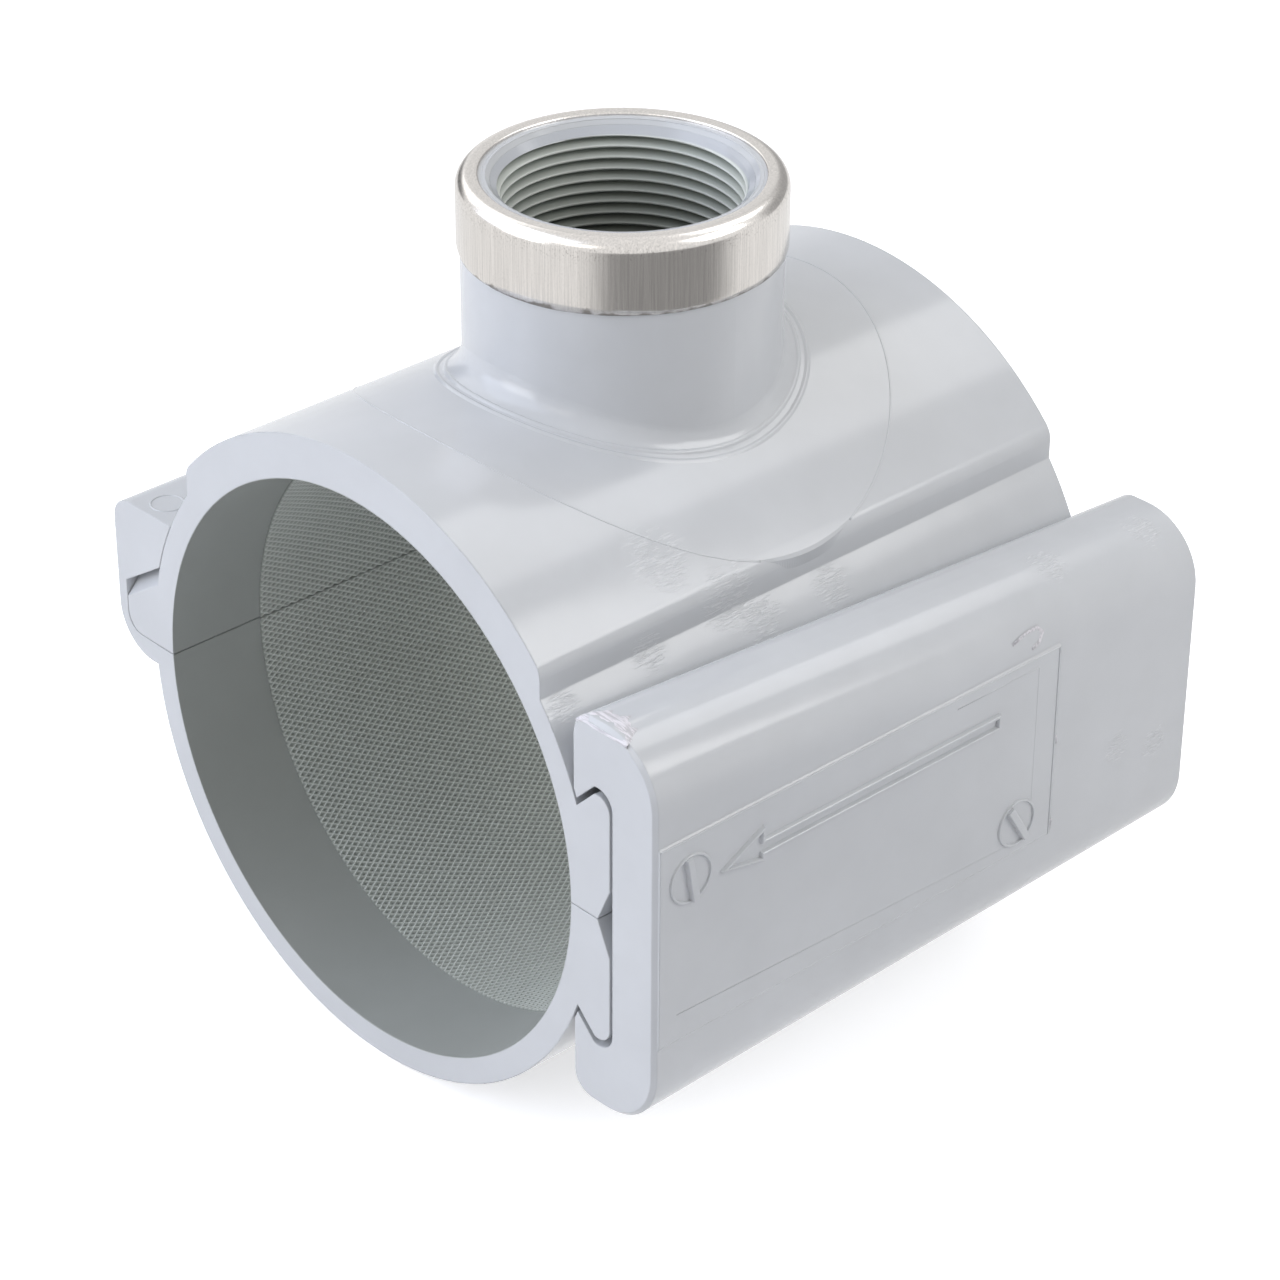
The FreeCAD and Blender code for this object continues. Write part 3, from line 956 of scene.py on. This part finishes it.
@dataclass
class KnurledBore:
    """The diamond knurl that grips the pipe: crossing ridges at 30 degrees to the run."""

    sizes: SaddleSizes
    finishes: Finishes
    split_margin: float = 0.12 * MM
    outlet_margin: float = 33 * MM

    def build(self, half: Half) -> bpy.types.Object:
        """Builds the knurl of one half, as a net of ridges with pits between them.

        Args:
            half: which half of the saddle.

        Returns:
            The piece.
        """
        wall = self.sizes.bore_radius
        margin = self.split_margin / wall
        form = self.sizes.knurl
        first_y = self.sizes.near_end + form.smooth_end
        last_y = self.sizes.far_end - form.smooth_end
        columns = 2 * round((math.pi - 2 * margin) * wall / form.pitch_round)
        rows = 2 * round((last_y - first_y) / form.pitch_along)
        grid: dict[tuple[int, int], int] = {}
        points: list[Vector] = []

        def corner(i: int, j: int) -> int:
            """The number of the grid's point, made when it is first asked for."""
            if (i, j) not in grid:
                angle = half.value + margin + (math.pi - 2 * margin) * i / columns
                radius = wall - (form.ridge if (i + j) % 2 == 0 else form.pit_rise)
                y = first_y + (last_y - first_y) * j / rows
                grid[(i, j)] = len(points)
                points.append(Vector((radius * math.cos(angle), y, radius * math.sin(angle))))
            return grid[(i, j)]

        faces: list[tuple[int, ...]] = []
        for i in range(columns + 1):
            angle = half.value + margin + (math.pi - 2 * margin) * i / columns
            for j in range(rows + 1):
                if (i + j) % 2 == 0:
                    continue
                y = first_y + (last_y - first_y) * j / rows
                reach = math.hypot(wall * math.cos(angle), y)
                if half is Half.UPPER and reach < self.outlet_margin:
                    continue
                around = [(i + 1, j), (i, j + 1), (i - 1, j), (i, j - 1)]
                for k in range(4):
                    a, b = around[k], around[(k + 1) % 4]
                    if all(0 <= c[0] <= columns and 0 <= c[1] <= rows for c in (a, b)):
                        faces.append((corner(i, j), corner(*b), corner(*a)))
        # Each ridge ends in a small upright face at the smooth bands
        for j, order in ((0, 1), (rows, -1)):
            for i in range(columns - 1):
                if (i + j) % 2 == 1:
                    faces.append((corner(i, j), corner(i + 1, j), corner(i + 2, j))[::order])
        name = f"bore_knurl_{half.name.lower()}"
        return new_piece(name, points, faces, self.finishes.bore, SADDLE_BODY, "moulding", False)


@dataclass
class StainlessBand:
    """The band pressed round the outlet: tucked in at its foot, rolled over the rim to a lip."""

    sizes: SaddleSizes
    finishes: Finishes
    thickness: float = 0.65 * MM
    shoulder: float = 2.6 * MM
    lip_radius: float = 26.2 * MM
    lip_round: float = 0.3 * MM
    lip_drop: float = 0.12 * MM
    tuck: float = 0.3 * MM
    tuck_height: float = 1.1 * MM
    edge_wander: float = 0.07 * MM
    segments: int = 240

    def profile(self) -> list[tuple[float, float]]:
        """The outline as radius and height, from the foot inside, round the outside, to the lip."""
        outer = self.sizes.band_high.x
        top = self.sizes.band_high.z
        foot = self.sizes.band_low.z
        inner = outer - self.thickness
        outline = [
            (inner + 0.02 * MM, foot + 0.3 * MM),
            (inner + 0.05 * MM, foot + 0.04 * MM),
            (outer - self.tuck - 0.12 * MM, foot),
            (outer - self.tuck, foot + 0.12 * MM),
            (outer - self.tuck * 0.45, foot + self.tuck_height * 0.55),
            (outer - self.tuck * 0.08, foot + self.tuck_height),
            (outer, foot + self.tuck_height * 1.5),
        ]
        rise = top - self.shoulder
        walls = 6
        start = foot + self.tuck_height * 1.5
        outline += [(outer, start + (rise - start) * i / walls) for i in range(1, walls)]
        turns = 12
        for i in range(turns + 1):
            angle = math.pi / 2 * i / turns
            outline.append((
                outer - self.shoulder * (1 - math.cos(angle)),
                rise + self.shoulder * math.sin(angle),
            ))
        lip_top = top - self.lip_drop
        outline.append((self.lip_radius + self.lip_round * 1.6, lip_top + 0.02 * MM))
        for i in range(5):
            angle = math.pi / 2 * i / 4
            outline.append((
                self.lip_radius + self.lip_round * (1 - math.sin(angle)),
                lip_top - self.lip_round * (1 - math.cos(angle)),
            ))
        outline.append((self.lip_radius + 0.02 * MM, self.sizes.boss_rim - 0.02 * MM))
        return outline

    def build(self) -> bpy.types.Object:
        """Turns the outline round the outlet, with a foot that wanders a little."""
        outline = self.profile()
        foot = self.sizes.band_low.z
        points: list[Vector] = []
        for segment in range(self.segments):
            angle = 2 * math.pi * segment / self.segments
            wander = self.edge_wander * (
                0.5 * math.sin(7 * angle + 0.6)
                + 0.3 * math.sin(17 * angle)
                + 0.2 * math.sin(41 * angle + 2)
            )
            for radius, height in outline:
                share = max(0.0, 1 - (height - foot) / (1.4 * MM))
                z = height + (wander + self.edge_wander) * share
                points.append(Vector((radius * math.cos(angle), radius * math.sin(angle), z)))
        faces = strips(self.segments, len(outline), True)
        band = new_piece("stainless_band", points, faces, self.finishes.steel, SADDLE_BODY, "band")
        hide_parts("outlet_band")
        return band


@dataclass
class MouldLines:
    """What the mould's inserts and ejectors leave on the two halves: rings, beads and an edge."""

    finishes: Finishes
    witness_line: RaisedLine = RaisedLine(0.42 * MM, 0.12 * MM)
    bead: RaisedLine = RaisedLine(1.3 * MM, 0.27 * MM, Section.BEAD)
    mouth_line: RaisedLine = RaisedLine(0.22 * MM, 0.06 * MM)
    ejector_line: RaisedLine = RaisedLine(0.45 * MM, 0.18 * MM)
    witness_radius: float = 50 * MM
    witness_reach: float = 48.7 * MM
    # The crown's edge over each shoulder: where it starts, how far down and out its wall goes
    crescent_start: float = 48.0 * MM
    crescent_depth: float = 3.0 * MM
    crescent_reach: float = 1.46 * MM
    crescent_round: float = 0.25 * MM
    crescent_lift: float = 0.03 * MM
    crescent_back: tuple[float, float] = (0.4 * MM, 0.6 * MM)
    crescent_columns: int = 48
    crescent_rows: int = 5
    foot_across: float = 33.1 * MM
    foot_along: float = 35.6 * MM
    foot_spacing: float = 1.7 * MM
    ejector_radius: float = 3.25 * MM
    ejector_place: tuple[float, float] = (-63.3 * MM, -59.8 * MM)
    mouth_rings: tuple[float, ...] = (25.5 * MM, 24.9 * MM)
    look_height: float = 120 * MM
    route_step: float = 0.8 * MM

    def ring(
        self,
        skin: Skin,
        centre: tuple[float, float],
        across: float,
        along: float,
        line: RaisedLine,
        span: tuple[float, float] | None = None,
    ) -> Mesh:
        """Lays an upright ring, or a part of one, on a solid.

        Args:
            skin: the solid's surface.
            centre: the ring's middle, seen from above.
            across: its half width in X.
            along: its half width in Y.
            line: the raised line that it is made of.
            span: the first and last angle of a part of a ring, or None for all of it.

        Returns:
            Points and faces.
        """
        first, last = span or (0.0, 2 * math.pi)
        count = max(24, round((last - first) * max(across, along) / self.route_step))
        places, normals = [], []
        for i in range(count):
            angle = first + (last - first) * i / (count if span is None else count - 1)
            x = centre[0] + across * math.cos(angle)
            y = centre[1] + along * math.sin(angle)
            found = skin.below(x, y, self.look_height)
            if found is not None:
                places.append(found[0])
                normals.append(found[1])
        return line.mesh(places, normals, span is None)

    def crescent(self, skin: Skin, side: float) -> Mesh:
        """Where the insert's ring passes the crown's edge, the crown reaches out to it.

        Args:
            skin: the upper half's surface.
            side: 1 for the wedge's side, -1 for the hinge's side.

        Returns:
            Points and faces.
        """
        start = self.crescent_start
        crown = math.hypot(start, skin.below(start * side, 0, self.look_height)[0].z)
        edge = math.acos((start + 0.05 * MM) / self.witness_radius)
        points: list[Vector] = []
        columns, rows = self.crescent_columns, self.crescent_rows
        for i in range(columns + 1):
            angle = edge * (2 * i / columns - 1)
            y = self.witness_radius * math.sin(angle)
            rim = self.witness_radius * math.cos(angle) + 0.02 * MM
            for j in range(rows + 1):
                x = start + (rim - start) * j / rows
                drop = self.crescent_round * (1 if j == rows else 0)
                z = math.sqrt(crown**2 - x**2) + self.crescent_lift - drop
                points.append(Vector((x * side, y, z)))
            foot = math.sqrt(crown**2 - rim**2) - self.crescent_depth
            points.append(Vector((min(rim, start + self.crescent_reach) * side, y, foot)))
            inward, down = self.crescent_back
            points.append(Vector(((start - inward) * side, y, foot - down)))
        return points, [face[::int(side)] for face in strips(columns + 1, rows + 3, False)]

    def build(self) -> None:
        """Builds the insert's ring and edges, the beads, and the mouth's and ejector's rings."""
        upper, lower = Skin("upper_saddle"), Skin("lower_saddle")
        middle = (0.0, 0.0)
        # The insert's ring ends at the crown's two shoulders
        edge = math.acos(self.witness_reach / self.witness_radius)
        witness = joined(
            self.ring(
                upper, middle, self.witness_radius, self.witness_radius, self.witness_line,
                (start + edge, start + math.pi - edge),
            )
            for start in (0.0, math.pi)
        )
        mark = self.finishes.mark
        new_piece("insert_witness_ring", *witness, mark, SADDLE_BODY, "moulding")
        edges = joined(self.crescent(upper, side) for side in (1.0, -1.0))
        new_piece("insert_shoulder_edges", *edges, mark, SADDLE_BODY, "moulding", False)
        beads = joined(
            self.ring(
                upper, middle,
                self.foot_across - self.foot_spacing * i,
                self.foot_along - self.foot_spacing * i,
                self.bead,
            )
            for i in range(2)
        )
        new_piece("boss_foot_beads", *beads, mark, SADDLE_BODY, "moulding")
        rings = joined(
            self.ring(upper, middle, radius, radius, self.mouth_line) for radius in self.mouth_rings
        )
        new_piece("outlet_mouth_rings", *rings, mark, SADDLE_BODY, "moulding", False)
        ejector = self.ring(
            lower, self.ejector_place, self.ejector_radius, self.ejector_radius, self.ejector_line
        )
        new_piece("hook_ejector_ring", *ejector, mark, SADDLE_BODY, "moulding")


@dataclass
class PanelMarks:
    """What stands up on the wedge's panel: driving arrow, two screw marks, border line, flash."""

    sizes: SaddleSizes
    finishes: Finishes
    arrow_line: RaisedLine = RaisedLine(0.85 * MM, 0.78 * MM)
    screw_ring: RaisedLine = RaisedLine(0.6 * MM, 0.42 * MM)
    screw_bar: RaisedLine = RaisedLine(1.7 * MM, 1.05 * MM, Section.SLAB)
    border_line: RaisedLine = RaisedLine(0.3 * MM, 0.07 * MM)
    flash_line: RaisedLine = RaisedLine(0.36 * MM, 0.2 * MM)
    crumb_line: RaisedLine = RaisedLine(0.8 * MM, 0.45 * MM, Section.BEAD)
    dent_line: RaisedLine = RaisedLine(1.0 * MM, 0.12 * MM, Section.BEAD)
    arrow_tip: float = -49.2 * MM
    arrow_neck: float = -40.0 * MM
    arrow_end: float = 20.5 * MM
    arrow_height: float = 11.2 * MM
    arrow_head_rise: float = 3.8 * MM
    arrow_head_fall: float = 2.5 * MM
    arrow_shaft_half: float = 1.25 * MM
    border_end: float = 31.4 * MM
    border_low: float = -18.6 * MM
    border_high: float = 18.4 * MM
    screw_radius: float = 4.7 * MM
    # The flash line along the panel's top and far edges
    flash: Route = (
        (-64.0 * MM, 20.65 * MM), (-14.0 * MM, 20.65 * MM),
        (36.85 * MM, 20.65 * MM), (36.85 * MM, -20.6 * MM),
    )
    # Crumbs of flash on the panel's far edge, and a dent's rim above it
    crumbs: tuple[Route, ...] = (
        ((37.5 * MM, -0.9 * MM), (37.8 * MM, -0.2 * MM), (37.6 * MM, 0.6 * MM)),
        ((37.4 * MM, -19.8 * MM), (37.6 * MM, -18.6 * MM), (37.3 * MM, -17.6 * MM)),
    )
    dent: Route = (
        (24.7 * MM, 25.2 * MM), (28.4 * MM, 26.0 * MM), (31.6 * MM, 26.0 * MM),
        (32.7 * MM, 24.8 * MM), (31.8 * MM, 23.4 * MM), (29.6 * MM, 22.6 * MM),
    )
    # Each screw mark's place in Y and Z, and how its bar is turned
    screws: tuple[tuple[float, float, float], ...] = (
        (-57.0 * MM, 12.4 * MM, math.radians(100)),
        (27.4 * MM, -14.0 * MM, math.radians(-58)),
    )

    def on_face(self, y: float, z: float) -> Vector:
        """A point on the panel's face."""
        return Vector((self.sizes.panel_face, y, z))

    def stroke(self, route: Sequence[tuple[float, float]], line: RaisedLine, closed: bool) -> Mesh:
        """Lays a raised line along a route on the panel.

        Args:
            route: its points as Y and Z.
            line: the raised line.
            closed: whether it joins up.

        Returns:
            Points and faces.
        """
        places = [self.on_face(y, z) for y, z in route]
        return line.mesh(places, [Vector((1, 0, 0))] * len(places), closed)

    def arrow(self) -> Mesh:
        """The driving arrow's outline, which points to the near end."""
        z = self.arrow_height
        half = self.arrow_shaft_half
        route = [
            (self.arrow_tip, z - 0.6 * MM),
            (self.arrow_neck, z + self.arrow_head_rise),
            (self.arrow_neck, z + half),
            (self.arrow_end, z + half),
            (self.arrow_end, z - half),
            (self.arrow_neck, z - half),
            (self.arrow_neck, z - self.arrow_head_fall),
        ]
        return self.stroke(route, self.arrow_line, True)

    def screw_mark(self, y: float, z: float, turn: float) -> Mesh:
        """One screw's mark: a fine ring and the bar that its slot moulded.

        Args:
            y: the mark's place along the run.
            z: its height.
            turn: the bar's direction.

        Returns:
            Points and faces.
        """
        steps = 48
        ring = [
            (
                y + self.screw_radius * math.cos(2 * math.pi * i / steps),
                z + self.screw_radius * math.sin(2 * math.pi * i / steps),
            )
            for i in range(steps)
        ]
        reach = self.screw_radius * 0.98
        bar_steps = 12
        bar = []
        for i in range(bar_steps + 1):
            along = reach * (2 * i / bar_steps - 1)
            bar.append((y + along * math.cos(turn), z + along * math.sin(turn)))
        fine = self.stroke(ring, self.screw_ring, True)
        heavy = self.stroke(bar, self.screw_bar, False)
        return joined([fine, heavy])

    def build(self) -> None:
        """Builds the marks and lets them ride on the wedge."""
        border = self.stroke(
            [
                (self.sizes.near_end + 5 * MM, self.border_low + 3.5 * MM),
                (self.border_end, self.border_low),
                (self.border_end, self.border_high),
                (self.border_end - 22 * MM, self.border_high),
            ],
            self.border_line,
            False,
        )
        skin = Skin("wedge_clip")
        outward = Vector((1, 0, 0))
        crumbs = []
        for route, line in (
            *((crumb, self.crumb_line) for crumb in self.crumbs),
            (self.dent, self.dent_line),
        ):
            places = [skin.beside(self.sizes.panel_face + 10 * MM, y, z) for y, z in route]
            crumbs.append(line.mesh(places, [outward] * len(places), False))
        flash = self.stroke(self.flash, self.flash_line, False)
        mark = self.finishes.mark
        new_piece("panel_edge_flash", *flash, mark, WEDGE_BODY, "moulding", False)
        new_piece("panel_arrow", *self.arrow(), mark, WEDGE_BODY, "moulding", False)
        marks = joined(self.screw_mark(*screw) for screw in self.screws)
        new_piece("panel_screw_marks", *marks, mark, WEDGE_BODY, "moulding", False)
        new_piece("panel_border_line", *border, mark, WEDGE_BODY, "moulding")
        battered = self.finishes.battered
        new_piece("panel_flash_crumbs", *joined(crumbs), battered, WEDGE_BODY, "moulding")


@dataclass
class HammeredCorner:
    """The wedge's top corner at its driving end, mushroomed and whitened by the mallet."""

    sizes: SaddleSizes
    finishes: Finishes
    first_x: float = 58.6 * MM
    last_x: float = 71.4 * MM
    reach: float = 6.0 * MM
    overhang: float = 0.45 * MM
    hang: float = 1.5 * MM
    rise: float = 0.32 * MM
    crease: float = 0.16 * MM
    columns: int = 44
    rows: int = 22
    look_height: float = 60 * MM

    def build(self) -> bpy.types.Object:
        """Drapes a creased burr over the corner, with a ragged outline."""
        skin = Skin("wedge_clip")
        chance = random.Random(11)
        # Each crease's weight, phase and count
        creases = [
            (chance.uniform(0.4, 1.0), chance.uniform(0, 6.3), chance.uniform(2, 9))
            for _ in range(7)
        ]
        points: list[Vector] = []
        for i in range(self.columns + 1):
            share = i / self.columns
            x = self.first_x + (self.last_x - self.first_x) * share
            swell = math.sin(math.pi * share) ** 0.6
            ragged = 0.12 * math.sin(23 * share + 1) + 0.08 * math.sin(47 * share)
            depth = self.reach * max(0.02, swell * (1 + ragged) * (0.75 + 0.35 * share))
            for j in range(self.rows + 1):
                into = j / self.rows
                y = self.sizes.near_end - self.overhang * swell + depth * into
                base = skin.below(x, max(y, self.sizes.near_end + 0.9 * MM), self.look_height)[0].z
                lines = sum(
                    weight * math.sin(phase + (9 + count) * into + 3 * share * math.sin(phase))
                    for weight, phase, count in creases
                ) / len(creases)
                arch = math.sin(math.pi * min(1, 0.25 + 0.75 * into))
                lift = (self.rise + self.crease * lines) * swell * arch
                front = (1 - into) ** 3 * self.hang * swell
                points.append(Vector((x, y, base + lift - front - 0.02 * MM * (into == 1))))
            # The burr's lip turns down and back onto the end face
            lip = Vector((0, self.overhang * swell + 0.1 * MM, -0.5 * MM))
            points.append(points[-self.rows - 1] + lip)
        stride = self.rows + 2
        faces: list[tuple[int, ...]] = []
        for i in range(self.columns):
            here, there = i * stride, (i + 1) * stride
            faces += [(here + j, there + j, there + j + 1, here + j + 1) for j in range(self.rows)]
            faces.append((here + self.rows + 1, there + self.rows + 1, there, here))
        finish = self.finishes.battered
        return new_piece(
            "wedge_hammered_corner", points, faces, finish, WEDGE_BODY, "moulding", False
        )


@dataclass
class Viewpoint:
    """Where the photograph was taken from."""

    azimuth: float = 46.838
    elevation: float = 30.884
    roll: float = 0.289
    place: tuple[float, float, float] = (488.6 * MM, -452.6 * MM, 399.9 * MM)
    focal_pixels: float = 4012.05
    centre_pixels: tuple[float, float] = (643.02, 642.68)
    image_pixels: float = 1280.0
    sensor: float = 36.0

    def build(self) -> bpy.types.Object:
        """Makes the camera and gives it to the scene."""
        az, el = math.radians(self.azimuth), math.radians(self.elevation)
        back = Vector((math.sin(az) * math.cos(el), -math.cos(az) * math.cos(el), math.sin(el)))
        right = Vector((math.cos(az), math.sin(az), 0))
        up = back.cross(right)
        turn = math.radians(self.roll)
        rolled_right = right * math.cos(turn) + up * math.sin(turn)
        rolled_up = up * math.cos(turn) - right * math.sin(turn)
        axes = Matrix((rolled_right, rolled_up, back)).transposed().to_4x4()
        data = bpy.data.cameras.new("photo_camera")
        data.sensor_width = self.sensor
        data.lens = self.focal_pixels / self.image_pixels * self.sensor
        half = self.image_pixels / 2
        data.shift_x = (half - self.centre_pixels[0]) / self.image_pixels
        data.shift_y = (self.centre_pixels[1] - half) / self.image_pixels
        camera = bpy.data.objects.new("photo_camera", data)
        camera.matrix_world = Matrix.Translation(Vector(self.place)) @ axes
        bpy.context.scene.collection.objects.link(camera)
        bpy.context.scene.camera = camera
        return camera


@dataclass(frozen=True)
class Softbox:
    """One soft lamp, aimed at the saddle."""

    name: str
    place: tuple[float, float, float]
    size: float
    power: float
    tint: str = "FFFFFF"

    def build(self) -> bpy.types.Object:
        """Makes the lamp and aims it at the middle of the saddle."""
        data = bpy.data.lights.new(self.name, "AREA")
        data.shape = "SQUARE"
        data.size = self.size
        data.energy = self.power
        data.color = linear(self.tint)[:3]
        lamp = bpy.data.objects.new(self.name, data)
        lamp.location = self.place
        lamp.rotation_euler = (-Vector(self.place)).to_track_quat("-Z", "Y").to_euler()
        bpy.context.scene.collection.objects.link(lamp)
        return lamp


@dataclass(frozen=True)
class DimPart:
    """A dim part of the room, which only shows in reflections.

    The sides say where it starts and is full, as a cosine from its direction. The heights say
    where it ends and is full.
    """

    towards: tuple[float, float, float]
    sides: tuple[float, float]
    heights: tuple[float, float]
    level: float


@dataclass
class Studio:
    """A pale table in a light tent, with dim parts and a dark cloth that the saddle reflects."""

    floor_height: float
    floor_size: float = 6.0
    floor_hex: str = "E6E6E8"
    floor_glow: float = 0.6
    ambient: float = 0.4
    # A dark cloth on the table, as its reach from the outlet and its two sides as seen from there
    cloth_reach: tuple[float, float] = (0.12, 0.9)
    cloth_sides: tuple[float, float] = (math.radians(-60), math.radians(30))
    # How soft the cloth's two sides are, and its near and far edge
    cloth_soft: tuple[float, float] = (math.radians(15), 0.04)
    cloth_level: float = 0.33
    dim_parts: tuple[DimPart, ...] = (
        DimPart((-0.98, 0.2, 0.0), (0.93, 0.985), (0.6, 0.2), 0.2),
        DimPart((-0.15, 0.98, 0.1), (0.76, 0.92), (0.75, 0.35), 0.45),
        DimPart((-0.63, 0.585, 0.513), (0.93, 0.995), (1.2, 0.9), 0.9),
    )
    lamps: tuple[Softbox, ...] = (
        Softbox("key_softbox", (-0.75, -1.0, 0.95), 1.6, 15.6, "E2EBFF"),
        Softbox("front_softbox", (-0.5, -1.2, 0.4), 0.7, 3.6),
        Softbox("fill_softbox", (0.35, -1.2, 0.85), 0.5, 1.1, "FFFBF4"),
        Softbox("left_softbox", (-1.3, 0.1, 1.0), 1.0, 2.2),
        Softbox("top_softbox", (0.06, 0.88, 1.21), 0.64, 2.8),
        Softbox("rim_softbox", (0.95, 0.55, 0.85), 0.7, 6.4),
    )

    def world(self) -> None:
        """Makes the tent: white to the eye, dim in parts for reflections, even for soft light."""
        world = bpy.data.worlds.new("light_tent")
        bpy.context.scene.world = world
        world.use_nodes = True
        tree = world.node_tree
        tree.nodes.clear()
        rays = add_node(tree, "ShaderNodeLightPath")
        direction = add_node(tree, "ShaderNodeTexCoord").outputs["Generated"]
        height = add_node(tree, "ShaderNodeSeparateXYZ", {0: direction})
        reflected: Socket | float = 1.0
        for part in self.dim_parts:
            low = add_node(tree, "ShaderNodeMapRange", {
                "Value": height.outputs["Z"], "From Min": part.heights[0],
                "From Max": part.heights[1],
            }, interpolation_type="SMOOTHSTEP")
            facing = add_node(tree, "ShaderNodeVectorMath", {
                0: direction, 1: part.towards,
            }, operation="DOT_PRODUCT")
            side = add_node(tree, "ShaderNodeMapRange", {
                "Value": facing.outputs["Value"], "From Min": part.sides[0],
                "From Max": part.sides[1],
            }, interpolation_type="SMOOTHSTEP")
            dimmed = add_node(tree, "ShaderNodeMath", {0: low, 1: side}, operation="MULTIPLY")
            kept = add_node(tree, "ShaderNodeMapRange", {
                "Value": dimmed, "To Min": 1.0, "To Max": part.level,
            })
            reflected = add_node(tree, "ShaderNodeMath", {
                0: reflected, 1: kept,
            }, operation="MULTIPLY").outputs[0]
        seen = add_node(tree, "ShaderNodeMix", {
            0: rays.outputs["Is Glossy Ray"], 2: self.ambient, 3: reflected,
        }, data_type="FLOAT")
        eye = add_node(tree, "ShaderNodeMath", {
            0: rays.outputs["Is Camera Ray"], 1: rays.outputs["Is Transmission Ray"],
        }, operation="MAXIMUM")
        strength = add_node(tree, "ShaderNodeMix", {0: eye, 2: seen, 3: 1.0}, data_type="FLOAT")
        sky = add_node(tree, "ShaderNodeBackground", {"Color": (1, 1, 1, 1), "Strength": strength})
        add_node(tree, "ShaderNodeOutputWorld", {"Surface": sky})

    def cloth(self, tree: Tree) -> Socket:
        """How bright the table is in reflections: plain, or dim where the dark cloth lies."""
        place = add_node(tree, "ShaderNodeTexCoord").outputs["Object"]
        split = add_node(tree, "ShaderNodeSeparateXYZ", {0: place})
        angle = add_node(tree, "ShaderNodeMath", {
            0: split.outputs["Y"], 1: split.outputs["X"],
        }, operation="ARCTAN2")
        reach = add_node(tree, "ShaderNodeVectorMath", {0: place}, operation="LENGTH")
        share: Socket | float = 1.0
        for value, limits, soft in (
            (angle.outputs[0], self.cloth_sides, self.cloth_soft[0]),
            (reach.outputs["Value"], self.cloth_reach, self.cloth_soft[1]),
        ):
            for edge, turn in zip(limits, (1, -1)):
                inner = add_node(tree, "ShaderNodeMapRange", {
                    "Value": value, "From Min": edge - turn * soft, "From Max": edge + turn * soft,
                }, interpolation_type="SMOOTHSTEP")
                share = add_node(tree, "ShaderNodeMath", {
                    0: share, 1: inner,
                }, operation="MULTIPLY").outputs[0]
        return add_node(tree, "ShaderNodeMapRange", {
            "Value": share, "To Min": 1.0, "To Max": self.cloth_level,
        }).outputs[0]

    def floor(self) -> bpy.types.Object:
        """Lays the pale table top just under the saddle; it keeps a soft shadow."""
        made, tree, output = new_material("pale_table_laminate")
        rays = add_node(tree, "ShaderNodeLightPath")
        matt = add_node(tree, "ShaderNodeBsdfDiffuse", {"Color": linear(self.floor_hex)})
        shown = add_node(tree, "ShaderNodeMath", {
            0: rays.outputs["Is Camera Ray"], 1: self.floor_glow,
        }, operation="MULTIPLY")
        glow = add_node(tree, "ShaderNodeEmission", {"Color": (1, 1, 1, 1), "Strength": shown})
        plain = add_node(tree, "ShaderNodeAddShader", {0: matt, 1: glow})
        mirrored = add_node(tree, "ShaderNodeEmission", {
            "Color": (1, 1, 1, 1), "Strength": self.cloth(tree),
        })
        both = add_node(tree, "ShaderNodeMixShader", {
            0: rays.outputs["Is Glossy Ray"], 1: plain, 2: mirrored,
        })
        tree.links.new(both.outputs[0], output.inputs["Surface"])
        half = self.floor_size / 2
        mesh = bpy.data.meshes.new("table_top")
        corners = [(-half, -half, 0), (half, -half, 0), (half, half, 0), (-half, half, 0)]
        mesh.from_pydata(corners, [], [(0, 1, 2, 3)])
        mesh.materials.append(made)
        table = bpy.data.objects.new("table_top", mesh)
        table.location.z = self.floor_height
        bpy.context.scene.collection.objects.link(table)
        return table

    def build(self) -> None:
        """Sets up the tent, the table and the lamps."""
        self.world()
        self.floor()
        for lamp in self.lamps:
            lamp.build()
        bpy.context.scene.view_settings.view_transform = "Standard"


@dataclass
class Mouldings:
    """The solids that show as they are, each with its own finish."""

    finishes: Finishes

    def build(self) -> None:
        """Dresses the two halves, the wedge and the seal."""
        for node in ("upper_saddle", "lower_saddle", "wedge_clip"):
            self.dress(node, self.finishes.outside)
        self.dress("outlet_seal", self.finishes.rubber)

    def dress(self, node: str, material: bpy.types.Material) -> None:
        """Gives one solid its finish on every slot.

        Args:
            node: the solid's name.
            material: its finish.
        """
        for slot in frame["nodes"][node].material_slots:
            slot.material = material
        log.info("%s: dressed in %s", node, material.name)


def main() -> None:
    """Reads the sizes, then builds the sub-assemblies in order, then the studio and the camera."""
    sizes = SaddleSizes.from_frame()
    finishes = Finishes.make(sizes, StainlessBand.shoulder)
    Mouldings(finishes).build()
    OutletThread(sizes, finishes).build()
    for half in Half:
        KnurledBore(sizes, finishes).build(half)
    StainlessBand(sizes, finishes).build()
    MouldLines(finishes).build()
    PanelMarks(sizes, finishes).build()
    HammeredCorner(sizes, finishes).build()
    Studio(floor_height=cad_low.z).build()
    Viewpoint().build()


if __name__ == "__main__":
    main()
